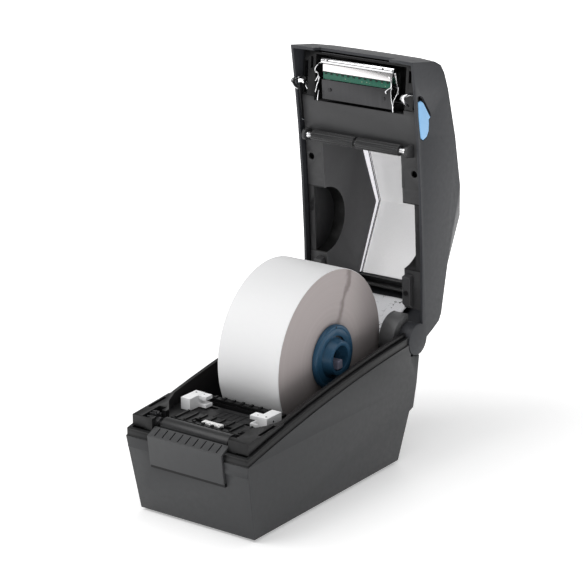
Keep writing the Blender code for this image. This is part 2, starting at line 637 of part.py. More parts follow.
# ---- hinge --------------------------------------------------------------------------
def hinges():
    for name, side in SIDES:
        low, high = span(side, 0.0305, 0.0430)
        drum = cylinder("hinge_drum_" + name, HINGE, 0.0175, low, high, "X", DATUM, FRAME, 40)
        cut(drum, box("drum_floor_" + name, (-0.06, 0.19, 0.06), (0.06, 0.24, 0.0854), DATUM))
        cut(drum, box("drum_back_" + name, (-0.06, 0.2172, 0.06), (0.06, 0.26, 0.12), DATUM))
        cut(drum, cylinder("drum_bore_" + name, HINGE, 0.0031, -0.06, 0.06, "X", DATUM, None, 24))
        low, high = span(side, 0.0300, 0.0525)
        cylinder("hinge_pin_" + name, HINGE, 0.0030, low, high, "X", DATUM, STEEL, 24)


# ---- lid ----------------------------------------------------------------------------
LID_EDGE_GAP = 0.0004
SIDE_LINE = [(0.0015, 0.0644), (0.0040, 0.0945), (0.0075, 0.1030), (0.0138, 0.1085),
             (0.0266, 0.1151), (0.0640, 0.1290), (0.1029, 0.1400), (0.1567, 0.1290),
             (0.2000, 0.1228), (0.2053, 0.1200), (0.2100, 0.1123), (0.2145, 0.1038)]
CENTRE_LINE = [(0.0015, 0.0644), (0.0040, 0.1010), (0.0070, 0.1100), (0.0130, 0.1165),
               (0.0266, 0.1225), (0.0700, 0.1420), (0.1340, 0.1700), (0.1880, 0.1490),
               (0.2000, 0.1400), (0.2050, 0.1310), (0.2100, 0.1180), (0.2145, 0.1038)]
PLATEAU = 0.0380                 # half width of the raised middle of the lid


def lid_shell():
    """Grey outer lid: facets climb from low sides to a raised middle with a ridge."""
    bm = bmesh.new()
    rows = []
    for (ys, zs), (yc, zc) in zip(SIDE_LINE, CENTRE_LINE):
        edge = max(rim_z(ys) + LID_EDGE_GAP, 0.0)
        if ys > 0.2000:
            edge = 0.0975
        edge = min(edge, zs)
        half = [(CASE_HALF_WIDTH, ys, edge), (CASE_HALF_WIDTH, ys, zs),
                (PLATEAU, yc, zc - 0.0012), (PLATEAU * 0.5, yc, zc - 0.0003)]
        rows.append(half + [(0.0, yc, zc)] + [(-x, y, z) for x, y, z in reversed(half)])
    grid = [[bm.verts.new(p) for p in row] for row in rows]
    for a, b in zip(grid, grid[1:]):
        for i in range(len(a) - 1):
            bm.faces.new((a[i], a[i + 1], b[i + 1], b[i]))
    bmesh.ops.remove_doubles(bm, verts=bm.verts, dist=1e-6)
    bmesh.ops.recalc_face_normals(bm, faces=bm.faces)
    if sum(face.normal.z for face in bm.faces) < 0:
        bmesh.ops.reverse_faces(bm, faces=bm.faces)
    bmesh.ops.triangulate(bm, faces=bm.faces)
    shell = add_object("lid_shell", mesh_from("lid_shell", bm), LID, CASE)
    thick = shell.modifiers.new("wall", "SOLIDIFY")
    thick.thickness = LID_WALL
    thick.offset = -1.0
    thick.use_even_offset = True
    for name, side in SIDES:
        low, high = span(side, 0.0440, CASE_HALF_WIDTH)
        join(shell, cylinder("lid_barrel_" + name, HINGE, HINGE_CAP_R, low, high, "X", LID))
        low, high = span(side, 0.0435 - 0.0010, 0.0530)
        cut(shell, cylinder("barrel_bore_" + name, HINGE, 0.0031, low, high, "X", LID, None, 24))
        low, high = span(side, 0.0298, 0.0437)
        cut(shell, cylinder("drum_room_" + name, HINGE, 0.0181, low, high, "X", LID))
        low, high = span(side, 0.0500, 0.0600)
        gap = button_outline(0.0004, BUTTON_TRAVEL)
        cut(shell, slab("button_gap_" + name, gap, low, high, TO_X, LID))
    lip = [(-0.0100, 0.0500), (0.0080, 0.0500), (0.0080, rim_z(0.0080) + LID_EDGE_GAP),
           (0.0, rim_z(0.0) + LID_EDGE_GAP), (-0.0100, rim_z(0.0) + LID_EDGE_GAP)]
    cut(shell, slab("lip_trim", lip, -0.0600, 0.0600, TO_X, LID))
    cut(shell, box("exit_notch", (-0.0335, -0.01, 0.05), (0.0335, 0.0120, 0.0742), LID))
    pane_low, pane_high = (-0.0350, WINDOW_FRONT - 0.0003, 0.09), (0.0350, WINDOW_BACK + 0.0003, 0.20)
    cut(shell, box("window_gap", pane_low, pane_high, LID))
    place = feed_place()
    for name, x, r in TOP_HOLES:
        hole = cylinder(name + "_hole", (x, 0, 0), r + 0.0003, -0.01, 0.01, "Z", LID, None, 24)
        hole.data.transform(place)
        cut(shell, hole)
    return shell


WINDOW_FRONT = 0.0820
WINDOW_BACK = 0.1880
TOP_HOLES = (("feed_button", 0.0150, 0.0050), ("status_led", 0.0020, 0.0016))
BUTTON_AIM = Vector((0.0, -0.968, -0.250))


def button_outline(grow, reach):
    """Arrow-shaped thumb button: a nose that widens to a barb, and a rounded tail."""
    nose = [(0.0316, 0.0745), (0.0310, 0.0780), (0.0326, 0.0814), (0.0449, 0.0924)]
    points = nose + [(0.0464, 0.0902), (0.0490, 0.0908), (0.0550, 0.0908), (0.0590, 0.0886),
                     (0.0609, 0.0842), (0.0588, 0.0805), (0.0441, 0.0768)]
    middle = (0.046, 0.083)
    grown = []
    for i, (y, z) in enumerate(points):
        away = Vector((y - middle[0], z - middle[1]))
        away = away.normalized() * grow * 1.6
        spot = Vector((y + away.x, z + away.y))
        if i < len(nose) and reach:
            grown.append(tuple(spot + BUTTON_AIM.yz * reach))
        if i >= len(nose) - 1 or not reach:
            grown.append(tuple(spot))
    return grown


def feed_place():
    """Turns the Z axis to the slope of the lid's top, near its front."""
    (y0, z0), (y1, z1) = CENTRE_LINE[4], CENTRE_LINE[5]
    slope = math.atan2(z1 - z0, y1 - y0)
    share = 0.35
    point = (0.0, y0 + (y1 - y0) * share, z0 + (z1 - z0) * share)
    return Matrix.Translation(point) @ Matrix.Rotation(slope, 4, "X")


def top_controls():
    place = feed_place()
    for name, x, r in TOP_HOLES:
        slide = pivot(name + "_axis", place @ Vector((x, 0, 0)), LID)
        low, mat = (-0.0050, BUTTON_BLUE) if name == "feed_button" else (-0.0040, LED)
        stud = cylinder(name, (x, 0, 0), r, low, 0.0010, "Z", slide, mat, 24)
        stud.data.transform(place)
        soften(stud, 0.0003)


def lid_window():
    """Clear pane that follows the lid's ridge."""
    ridge = CENTRE_LINE[6]
    front = line_point(CENTRE_LINE[5], ridge, WINDOW_FRONT)
    back = line_point(ridge, CENTRE_LINE[7], WINDOW_BACK)
    drop = 0.0022
    outer = [front, ridge, back]
    outline = [(y, z - 0.0001) for y, z in outer] + [(y, z - drop) for y, z in reversed(outer)]
    slab("lid_window", outline, -0.0346, 0.0346, TO_X, LID, WINDOW)


def line_point(a, b, y):
    return (y, a[1] + (b[1] - a[1]) * (y - a[0]) / (b[0] - a[0]))


BAY_HALF = 0.0400                # print-head bay
BAY_ROOF = 0.0950
SIDE_IN = 0.0353                 # inner side walls of the lid
POCKET_R = 0.0260
POCKET_DEPTH = 0.0455


def lid_inner_frame():
    """Black lining of the lid: flange, label-bay side walls, head bay and roller bosses."""
    lower = rim_line(0.0400, 0.1940, FLANGE_RISE, 7)
    upper = [(y, z + FLANGE_THICK) for y, z in reversed(lower)]
    frame = slab("lid_inner_frame", lower + upper, -0.0505, 0.0505, TO_X, LID, FRAME)
    front = [(0.0065, 0.0786), (0.0065, 0.0806), (0.0440, 0.0806), (0.0440, 0.0786)]
    join(frame, slab("front_flange", front, -0.0505, 0.0505, TO_X, LID))
    bay = [(0.0065, 0.0786), (0.0065, BAY_ROOF + 0.0018), (0.0448, BAY_ROOF + 0.0018),
           (0.0448, 0.0786)]
    join(frame, slab("bay_block", bay, -BAY_HALF - 0.0016, BAY_HALF + 0.0016, TO_X, LID))
    cut(frame, box("bay_room", (-BAY_HALF, 0.0082, 0.06), (BAY_HALF, 0.0430, BAY_ROOF), LID))
    cut(frame, box("label_bay", (-SIDE_IN, 0.0720, 0.06), (SIDE_IN, 0.2000, 0.2), LID))
    for name, side in SIDES:
        low, high = span(side, SIDE_IN, SIDE_IN + 0.0018)
        wall = [(0.0720, rim_z(0.072) + FLANGE_RISE + 0.0005), (0.0720, 0.1375), (0.1340, 0.1650),
                (0.1870, 0.1445), (0.1935, 0.1380), (0.1935, rim_z(0.1935) + FLANGE_RISE + 0.0005)]
        join(frame, slab("bay_wall_" + name, wall, low, high, TO_X, LID))
        low, high = span(side, SIDE_IN + 0.0010, POCKET_DEPTH + 0.0015)
        cup = arc(ROLL_AXIS.y, ROLL_AXIS.z - 0.0015, POCKET_R + 0.0016, -10, 190, 20)
        join(frame, slab("cup_" + name, cup, low, high, TO_X, LID))
        low, high = span(side, SIDE_IN - 0.0100, POCKET_DEPTH)
        pocket = ROLL_AXIS + Vector((0, 0, -0.0015))
        cut(frame, cylinder("pocket_" + name, pocket, POCKET_R, low, high, "X", LID))
        low, high = span(side, 0.0446, 0.0470)
        boss = [(0.0650, 0.0830), (0.0660, 0.0755)]
        boss += arc(LID_ROLLER_AXIS.y, LID_ROLLER_AXIS.z, 0.0042, 200, 340, 6)
        boss += [(0.0740, 0.0755), (0.0750, 0.0850)]
        join(frame, slab("roller_boss_" + name, boss, low, high, TO_X, LID))
        low, high = span(side, 0.0430, 0.0462)
        cut(frame, cylinder("roller_hole_" + name, LID_ROLLER_AXIS, 0.0021, low, high, "X", LID, None, 20))
        low, high = span(side, 0.0470, 0.0502)
        cut(frame, box("hook_slot_" + name, (low, 0.0140, 0.07), (high, 0.0390, 0.09), LID))
        low, high = span(side, 0.0424, 0.0446)
        cut(frame, box("flange_slot_" + name, (low, 0.0105, 0.07), (high, 0.0195, 0.09), LID))
        screw = (side * 0.0463, 0.0880, 0.0)
        cut(frame, cylinder("screw_hole_" + name, screw, 0.0027, 0.07, 0.11, "Z", LID, None, 20))
    cut(frame, cylinder("shaft_bore", LATCH_AXIS, 0.0021, -0.06, 0.06, "X", LID, None, 20))
    under = [(0.1000, 0.0500), *rim_line(0.1000, 0.1990, FLANGE_RISE, 6), (0.1990, 0.0500)]
    cut(frame, slab("below_flange", under, -0.0600, 0.0600, TO_X, LID))


def tear_bar():
    """Thin steel edge that labels are torn against."""
    box("tear_bar", (-0.0330, 0.0056, 0.0752), (0.0330, 0.0062, 0.0780), LID, STEEL)


def lid_roller():
    """Split grooved roller that presses the label web down."""
    spin = pivot("lid_roller_axis", LID_ROLLER_AXIS, LID)
    cy, cz = LID_ROLLER_AXIS.y, LID_ROLLER_AXIS.z
    cylinder("lid_roller_shaft", LID_ROLLER_AXIS, 0.0020, -0.0458, 0.0458, "X", spin, STEEL, 20)
    ribs = []
    for i in range(16):
        a = 2 * math.pi * i / 16
        for r, offset in ((0.00425, 0.0), (0.00425, 0.20), (0.0038, 0.26), (0.0038, 0.33)):
            turn = a + offset
            ribs.append((cy + r * math.cos(turn), cz + r * math.sin(turn)))
    for name, side in SIDES:
        low, high = span(side, 0.0010, 0.0390)
        bore = circle(cy, cz, 0.0021, 20)
        slab("roller_sleeve_" + name, ribs, low, high, TO_X, spin, RUBBER, [bore])


# ---- latch --------------------------------------------------------------------------
def latch():
    swing = pivot("latch_axis", LATCH_AXIS, LID)
    cy, cz = LATCH_AXIS.y, LATCH_AXIS.z
    cylinder("latch_shaft", LATCH_AXIS, 0.0020, -0.0500, 0.0500, "X", swing, STEEL, 20)
    hook = arc(cy, cz, 0.0045, -60, 150, 8)
    hook += [(0.0278, 0.0820), (0.0248, 0.0707), (0.0254, 0.0618), (0.0268, 0.0600),
             (0.0284, 0.0597), (0.0322, 0.0634), (0.0352, 0.0693), (0.0338, 0.0700),
             (0.0308, 0.0652), (0.0284, 0.0629), (0.0271, 0.0640), (0.0269, 0.0707),
             (0.0296, 0.0790)]
    for name, side in SIDES:
        low, high = span(side, 0.0479, 0.0493)
        slab("latch_hook_" + name, hook, low, high, TO_X, swing, CHROME, [circle(cy, cz, 0.0021, 20)])
        slide = pivot("latch_button_axis_" + name, (side * 0.053, 0.046, 0.083), LID)
        low, high = span(side, BLOCK_OUT + FIT, 0.0543)
        outline = button_outline(0.0, 0.0)
        button = slab("latch_button_" + name, outline, low, high, TO_X, slide, BUTTON_BLUE)
        soften(button, 0.0006)


# ---- print head ---------------------------------------------------------------------
HEAD_FLOOR = 0.0732


def print_head():
    """Spring-loaded head: bracket, ceramic strip, circuit board and heat sink."""
    slide = pivot("head_axis", (0.0, 0.0250, HEAD_FLOOR), LID)
    low = HEAD_FLOOR
    bracket = [(0.0098, low + 0.0010), (0.0134, low + 0.0002), (0.0134, low + 0.0036),
               (0.0300, low + 0.0090), (0.0300, low + 0.0104), (0.0120, low + 0.0104),
               (0.0098, low + 0.0070)]
    slab("head_bracket", bracket, -0.0320, 0.0320, TO_X, slide, STEEL)
    ceramic = [(0.0137, low), (0.0194, low + 0.0003), (0.0194, low + 0.0022),
               (0.0137, low + 0.0022)]
    slab("head_ceramic", ceramic, -0.0300, 0.0300, TO_X, slide, CERAMIC)
    board = [(0.0197, low + 0.0008), (0.0252, low + 0.0012), (0.0252, low + 0.0028),
             (0.0197, low + 0.0028)]
    slab("head_board", board, -0.0300, 0.0300, TO_X, slide, BOARD)
    sink = [(0.0255, low + 0.0004), (0.0405, low + 0.0024), (0.0405, low + 0.0060),
            (0.0255, low + 0.0050)]
    slab("head_heat_sink", sink, -0.0310, 0.0310, TO_X, slide, HEAT_SINK)
    coil_low, coil_high = low + 0.0108, BAY_ROOF - 0.0004
    for name, side in SIDES:
        coil("head_spring_" + name, (side * 0.0200, 0.0200), 0.0030, coil_low, coil_high, 5, 0.0004)


def coil(name, centre, radius, low, high, turns, wire):
    """A compression spring that stands on the head bracket."""
    curve = bpy.data.curves.new(name + "_path", "CURVE")
    curve.dimensions = "3D"
    curve.bevel_depth = wire
    curve.bevel_resolution = 0
    curve.use_fill_caps = True
    per_turn = 8
    count = turns * per_turn + 1
    spline = curve.splines.new("POLY")
    spline.points.add(count - 1)
    for i, point in enumerate(spline.points):
        a = 2 * math.pi * i / per_turn
        z = low + wire + (high - low - 2 * wire) * i / (count - 1)
        point.co = (centre[0] + radius * math.cos(a), centre[1] + radius * math.sin(a), z, 1.0)
    spring = bpy.data.objects.new(name, curve)
    spring.parent = LID
    spring.location = -ORIGINS[LID.name]
    PARTS.objects.link(spring)
    curve.materials.append(CHROME)


def head_cable():
    """Flat cable from the lid's back to the base, drooping over the hinge gap."""
    top = [(0.2530, 0.1062), (0.2470, 0.1032), (0.2400, 0.1000), (0.2310, 0.0968),
           (0.2220, 0.0934), (0.2140, 0.0894), (0.2070, 0.0872)]
    thick = 0.0007
    under = [(y + 0.0003, z - thick) for y, z in reversed(top)]
    slab("head_cable", top + under, -0.0240, 0.0240, TO_X, DATUM, CABLE)


def build():
    base_shell()
    bottom_cover()
    feet()
    inner_frame()
    exit_cover()
    ports()
    main_board()
    rear_switch()
    platen()
    paper_plates()
    media_guides()
    label_roll()
    roll_arms()
    hinges()
    lid_shell()
    top_controls()
    lid_window()
    lid_inner_frame()
    tear_bar()
    lid_roller()
    latch()
    print_head()
    head_cable()


build()
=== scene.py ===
"""Looks of a compact label and receipt printer, lid open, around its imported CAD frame.

Lengths are in metres. at(x, y, z) places a point in the case's own millimetres: x across,
y back from the rim's front edge, z up from the case's bottom edge. Pieces of the lid are
built as if it were shut and then turned open about the hinge.
"""
import json
import math

import bmesh
import bpy
from mathutils import Matrix, Vector


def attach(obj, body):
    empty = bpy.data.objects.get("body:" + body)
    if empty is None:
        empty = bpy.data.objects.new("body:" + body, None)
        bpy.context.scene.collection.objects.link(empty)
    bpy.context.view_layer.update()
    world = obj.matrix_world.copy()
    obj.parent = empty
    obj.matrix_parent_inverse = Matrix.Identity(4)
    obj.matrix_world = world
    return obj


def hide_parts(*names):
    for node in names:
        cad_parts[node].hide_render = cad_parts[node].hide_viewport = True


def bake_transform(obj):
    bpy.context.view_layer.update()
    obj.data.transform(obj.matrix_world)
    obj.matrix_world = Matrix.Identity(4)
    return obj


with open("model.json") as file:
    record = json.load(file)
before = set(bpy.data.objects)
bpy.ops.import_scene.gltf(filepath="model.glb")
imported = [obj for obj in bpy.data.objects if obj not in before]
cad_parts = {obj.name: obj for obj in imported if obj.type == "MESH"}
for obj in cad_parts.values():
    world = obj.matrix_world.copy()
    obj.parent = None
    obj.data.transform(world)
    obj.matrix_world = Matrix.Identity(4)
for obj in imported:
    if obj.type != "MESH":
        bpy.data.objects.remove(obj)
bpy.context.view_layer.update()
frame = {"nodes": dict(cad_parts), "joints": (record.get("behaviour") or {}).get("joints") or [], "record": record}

MM = 0.001
NODES = frame["nodes"]
JOINTS = {joint["name"]: joint for joint in frame["joints"]}
HINGE = Vector(JOINTS["lid_hinge"]["pos_m"])
LID_TURN = math.radians(JOINTS["lid_hinge"]["range_deg"][1])
ROLL = Vector(JOINTS["roll_spin"]["pos_m"])
PLATEN = Vector(JOINTS["platen_spin"]["pos_m"])
FRONT = PLATEN.y - 15.0 * MM                  # the rim's front edge
FLOOR = PLATEN.z - 66.5 * MM                  # the case's bottom edge
TO_WORLD = Matrix.Translation((0.0, FRONT, FLOOR)) @ Matrix.Scale(MM, 4)
TURN_OPEN = Matrix.Translation(HINGE) @ Matrix.Rotation(-LID_TURN, 4, "X") @ Matrix.Translation(-HINGE)
SIDES = (("left", -1), ("right", 1))


def at(x, y, z):
    return Vector((x * MM, FRONT + y * MM, FLOOR + z * MM))


# ---- camera, floor and light --------------------------------------------------------
CAMERA_AZIMUTH = math.radians(35.65)
CAMERA_ELEVATION = math.radians(18.02)
CAMERA_DISTANCE = 1.6634
CAMERA_LENS = 144.2
GLOW_STARTS, GLOW_FULL = 0.16, 0.62           # distance from the middle of the floor


def stand(azimuth, elevation, distance, target):
    """A point at that distance from the target; azimuth 0 is in front."""
    flat = math.cos(elevation) * distance
    rise = math.sin(elevation) * distance
    return target + Vector((math.sin(azimuth) * flat, -math.cos(azimuth) * flat, rise))


def aim(obj, target):
    obj.rotation_mode = "QUATERNION"
    obj.rotation_quaternion = (target - obj.location).to_track_quat("-Z", "Y")


def make_camera():
    data = bpy.data.cameras.new("camera")
    data.lens = CAMERA_LENS
    data.sensor_width = 36.0
    data.clip_start = 0.05
    data.clip_end = 30.0
    camera = bpy.data.objects.new("camera", data)
    bpy.context.scene.collection.objects.link(camera)
    target = at(19.03, 100.0, 152.95)
    camera.location = stand(CAMERA_AZIMUTH, CAMERA_ELEVATION, CAMERA_DISTANCE, target)
    aim(camera, target)
    bpy.context.scene.camera = camera


def area_light(name, azimuth, elevation, distance, size, power, colour=(1.0, 1.0, 1.0)):
    data = bpy.data.lights.new(name, "AREA")
    data.shape = "RECTANGLE"
    data.size, data.size_y = size
    data.energy = power
    data.color = colour
    light = bpy.data.objects.new(name, data)
    bpy.context.scene.collection.objects.link(light)
    target = at(0.0, 110.0, 130.0)
    light.location = stand(math.radians(azimuth), math.radians(elevation), distance, target)
    aim(light, target)


def make_studio():
    area_light("key_softbox", -38, 48, 1.5, (1.1, 0.9), 10.3)
    area_light("top_softbox", 10, 84, 1.4, (1.0, 1.0), 6.2)
    area_light("side_softbox", 58, 16, 1.7, (0.8, 1.1), 2.2, (0.95, 0.975, 1.0))
    area_light("back_softbox", 200, 30, 1.7, (1.2, 0.7), 4.0)
    world = bpy.data.worlds.new("studio")
    bpy.context.scene.world = world
    world.use_nodes = True
    sky = world.node_tree.nodes["Background"]
    sky.inputs["Color"].default_value = (1.0, 1.0, 1.0, 1.0)
    sky.inputs["Strength"].default_value = 0.30
    bpy.context.scene.view_settings.view_transform = "Standard"


def make_floor():
    """A white sheet that is lit near the printer and glows evenly further out."""
    bpy.ops.mesh.primitive_plane_add(size=56.0, location=(0.0, 0.0, 0.0))
    floor = bpy.context.object
    floor.name = "floor"
    made = Surface("floor_white", (0.93, 0.93, 0.93), 0.7)
    made.set(Specular_IOR_Level=0.1, Emission_Color=(1.0, 1.0, 1.0, 1.0))
    away = made.node("VectorMath", Vector=made.coords)
    away.operation = "LENGTH"
    glow = made.node("MapRange", Value=away.outputs["Value"], From_Min=GLOW_STARTS, From_Max=GLOW_FULL,
                     To_Min=0.34, To_Max=1.0)
    glow.interpolation_type = "SMOOTHSTEP"
    made.links.new(glow.outputs[0], made.bsdf.inputs["Emission Strength"])
    floor.data.materials.append(made.mat)


# ---- material building --------------------------------------------------------------
class Surface:
    """A Principled material whose colour, roughness and bump are built up from textures."""

    def __init__(self, name, colour, roughness, metallic=0.0):
        self.mat = bpy.data.materials.new(name)
        self.mat.use_nodes = True
        self.nodes = self.mat.node_tree.nodes
        self.links = self.mat.node_tree.links
        self.bsdf = self.nodes["Principled BSDF"]
        self.colour_value = tuple(colour) + (1.0,)
        self.bsdf.inputs["Base Color"].default_value = self.colour_value
        self.bsdf.inputs["Roughness"].default_value = roughness
        self.bsdf.inputs["Metallic"].default_value = metallic
        self.colour = None
        self.height = None
        self.coords = self.nodes.new("ShaderNodeTexCoord").outputs["Object"]

    @classmethod
    def around(cls, mat):
        """Takes up a moulded material again, to paint more over it."""
        made = cls.__new__(cls)
        made.mat = mat
        made.nodes, made.links = mat.node_tree.nodes, mat.node_tree.links
        made.bsdf = made.nodes["Principled BSDF"]
        made.colour = made.bsdf.inputs["Base Color"].links[0].from_socket
        made.coords = made.nodes["Texture Coordinate"].outputs["Object"]
        made.height = None
        return made

    def node(self, kind, **inputs):
        made = self.nodes.new("ShaderNode" + kind)
        for key, value in inputs.items():
            name = key.replace("_", " ")
            if isinstance(value, bpy.types.NodeSocket):
                self.links.new(value, made.inputs[name])
            else:
                made.inputs[name].default_value = value
        return made

    def set(self, **inputs):
        for key, value in inputs.items():
            self.bsdf.inputs[key.replace("_", " ")].default_value = value
        return self

    def maths(self, operation, *values):
        made = self.nodes.new("ShaderNodeMath")
        made.operation = operation
        for i, value in enumerate(values):
            if isinstance(value, bpy.types.NodeSocket):
                self.links.new(value, made.inputs[i])
            else:
                made.inputs[i].default_value = value
        return made.outputs[0]

    def noise(self, scale, detail=2.0, stretch=None, roughness=0.5):
        vector = self.coords
        if stretch:
            mapping = self.node("Mapping", Scale=stretch)
            self.links.new(vector, mapping.inputs["Vector"])
            vector = mapping.outputs[0]
        made = self.node("TexNoise", Vector=vector, Scale=scale, Detail=detail, Roughness=roughness)
        return made.outputs[0]

    def tint(self, value, colour, amount=1.0, blend="MIX"):
        """Mixes a colour over what is there, where the value is high."""
        mix = self.nodes.new("ShaderNodeMix")
        mix.data_type = "RGBA"
        mix.blend_type = blend
        share = self.maths("MULTIPLY", value, amount)
        self.links.new(share, mix.inputs[0])
        if self.colour is None:
            mix.inputs[6].default_value = self.colour_value
        else:
            self.links.new(self.colour, mix.inputs[6])
        if isinstance(colour, bpy.types.NodeSocket):
            self.links.new(colour, mix.inputs[7])
        else:
            mix.inputs[7].default_value = tuple(colour) + (1.0,)
        self.colour = mix.outputs[2]
        self.links.new(self.colour, self.bsdf.inputs["Base Color"])
        return self

    def rough(self, value, low, high):
        spread = self.node("MapRange", Value=value, To_Min=low, To_Max=high)
        self.links.new(spread.outputs[0], self.bsdf.inputs["Roughness"])
        return self

    def bump(self, value, depth):
        """Adds relief of that depth in metres."""
        raised = self.maths("MULTIPLY", value, depth)
        self.height = raised if self.height is None else self.maths("ADD", self.height, raised)
        found = [n for n in self.nodes if n.type == "BUMP"]
        bump = found[0] if found else self.node("Bump", Strength=1.0, Distance=1.0)
        self.links.new(self.height, bump.inputs["Height"])
        self.links.new(bump.outputs[0], self.bsdf.inputs["Normal"])
        return self

    def axis_distance(self, centre):
        """Distance from an X axis through the centre, in metres."""
        parts = self.node("SeparateXYZ", Vector=self.coords).outputs
        y = self.maths("SUBTRACT", parts[1], centre.y)
        z = self.maths("SUBTRACT", parts[2], centre.z)
        squares = self.maths("ADD", self.maths("MULTIPLY", y, y), self.maths("MULTIPLY", z, z))
        return self.maths("SQRT", squares), y, z, parts


def moulded(name, colour, roughness, grain=0.012 * MM, spread=0.10, specular=0.3):
    """Moulded plastic: spark-eroded grain, faint flow marks and uneven gloss."""
    made = Surface(name, colour, roughness)
    made.set(Specular_IOR_Level=specular)
    flow = made.noise(22.0, 3.0)
    made.tint(flow, [c * (1.0 + 2.2 * spread) for c in colour], 0.5)
    cloud = made.noise(150.0, 4.0)
    made.tint(cloud, [c * (1.0 - 1.6 * spread) for c in colour], 0.45)
    speck = made.noise(1500.0, 2.0)
    made.rough(made.noise(260.0, 3.0), roughness - 0.07, roughness + 0.09)
    made.bump(speck, grain)
    made.bump(cloud, grain * 0.5)
    return made.mat


RIM_FRONT, RIM_SLOPE, RIM_CURVE = 64.0 * MM, 0.2427, 0.411    # the rim's height along y


def case_plastic(name, colour):
    """Case plastic with the darker band just under the rim, and in it two black lines of painted shade standing in
    for two fine groove recesses.
    """
    mat = moulded(name, colour, 0.46)
    made = Surface.around(mat)
    parts = made.node("SeparateXYZ", Vector=made.coords).outputs
    y = made.maths("SUBTRACT", parts[1], FRONT)
    arch = made.maths("SUBTRACT", RIM_SLOPE, made.maths("MULTIPLY", y, RIM_CURVE))
    rim = made.maths("ADD", made.maths("MULTIPLY", y, arch), RIM_FRONT + FLOOR)
    below = made.maths("SUBTRACT", rim, parts[2])
    band = made.node("MapRange", Value=below, From_Min=5.9 * MM, From_Max=5.3 * MM).outputs[0]
    made.tint(band, [c * 0.25 for c in colour], 0.92)
    # Painted shade: two black lines standing in for the shade in two fine groove recesses under the rim.
    groove_shade = 0.0
    for depth in (1.4 * MM, 4.9 * MM):
        off = made.maths("ABSOLUTE", made.maths("SUBTRACT", below, depth))
        line = made.node("MapRange", Value=off, From_Min=0.85 * MM, From_Max=0.45 * MM).outputs[0]
        groove_shade = made.maths("ADD", line, groove_shade)
    made.tint(groove_shade, [c * 0.05 for c in colour], 0.97)
    return mat


POCKET_RADIUS = 26.0 * MM


def lining_plastic(name, colour):
    """Lid lining: black by the print head, bay walls painted lighter as painted light, and round pockets with
    painted shade on their rims and floors.
    """
    mat = moulded(name, colour, 0.47)
    made = Surface.around(mat)
    parts = made.node("SeparateXYZ", Vector=made.coords).outputs
    head_end = (TURN_OPEN @ at(0.0, 41.0, 80.0)).z
    dark = made.node("MapRange", Value=parts[2], From_Min=head_end - 3 * MM, From_Max=head_end + 3 * MM)
    made.tint(dark.outputs[0], (0.010, 0.010, 0.0105), 0.92)
    out = made.maths("ABSOLUTE", parts[0])
    bay_end = (TURN_OPEN @ at(0.0, 72.5, 80.0)).z
    # Painted light: the bay walls are painted lighter, as if lit.
    wall = made.node("MapRange", Value=out, From_Min=35.55 * MM, From_Max=35.45 * MM).outputs[0]
    below = made.maths("LESS_THAN", parts[2], bay_end)
    painted_light_on_walls = made.maths("MULTIPLY", wall, below)
    made.tint(painted_light_on_walls, (0.105, 0.105, 0.108), 0.95)
    # Painted shade: a black ring on the round pocket's rim wall and a darker pocket floor, for the shade inside
    # the recess.
    radius = made.axis_distance(TURN_OPEN @ at(0.0, 137.5, 93.5))[0]
    rim = made.maths("ABSOLUTE", made.maths("SUBTRACT", radius, POCKET_RADIUS))
    ring = made.node("MapRange", Value=rim, From_Min=0.9 * MM, From_Max=0.5 * MM).outputs[0]
    deep = made.maths("GREATER_THAN", out, 35.6 * MM)
    made.tint(made.maths("MULTIPLY", ring, deep), (0.003, 0.003, 0.003), 0.97)
    floor = made.maths("MULTIPLY", made.maths("GREATER_THAN", out, 45.0 * MM),
                       made.maths("LESS_THAN", radius, POCKET_RADIUS - 0.2 * MM))
    made.tint(floor, (0.016, 0.016, 0.017), 0.9)
    return mat


def button_plastic():
    """Light blue outside; the button's hidden inner face and stem are black."""
    mat = moulded("button_blue", (0.26, 0.52, 0.83), 0.33, grain=0.006 * MM, spread=0.05)
    made = Surface.around(mat)
    parts = made.node("SeparateXYZ", Vector=made.coords).outputs
    out = made.maths("ABSOLUTE", parts[0])
    inner = made.node("MapRange", Value=out, From_Min=53.4 * MM, From_Max=53.3 * MM).outputs[0]
    side = made.maths("GREATER_THAN", out, 40.0 * MM)
    made.tint(made.maths("MULTIPLY", inner, side), (0.012, 0.012, 0.013))
    return mat


def metal(name, colour, roughness, stretch=(1.0, 1.0, 1.0), scale=900.0, scratch=0.004 * MM):
    """Plated or rolled metal with a drawn grain along the short stretch."""
    made = Surface(name, colour, roughness, 1.0)
    grain = made.noise(scale, 3.0, stretch)
    made.tint(grain, [c * 0.72 for c in colour], 0.35)
    blot = made.noise(70.0, 3.0)
    made.tint(blot, [c * 0.85 for c in colour], 0.3)
    made.rough(grain, roughness * 0.7, roughness * 1.5)
    made.bump(grain, scratch)
    return made.mat


def rubber(name, colour, roughness=0.62):
    """Ground rubber: fine pits, dusty grey patches."""
    made = Surface(name, colour, roughness)
    made.set(Specular_IOR_Level=0.35, Sheen_Weight=0.12, Sheen_Roughness=0.5)
    dust = made.noise(90.0, 5.0)
    made.tint(dust, [c + 0.018 for c in colour], 0.5)
    pits = made.noise(2200.0, 2.0)
    made.rough(dust, roughness - 0.08, roughness + 0.12)
    made.bump(pits, 0.02 * MM)
    return made.mat


def paper_face():
    """Coated white face of the stock."""
    made = Surface("paper_face", (0.80, 0.80, 0.805), 0.55)
    made.set(Specular_IOR_Level=0.35)
    fibre = made.noise(420.0, 4.0, (0.5, 1.0, 1.0))
    made.tint(fibre, (0.74, 0.74, 0.75), 0.35)
    broad = made.noise(14.0, 2.0, (0.6, 1.0, 1.0))
    made.tint(broad, (0.83, 0.83, 0.83), 0.5)
    made.bump(fibre, 0.006 * MM)
    made.bump(broad, 0.15 * MM)
    return made.mat


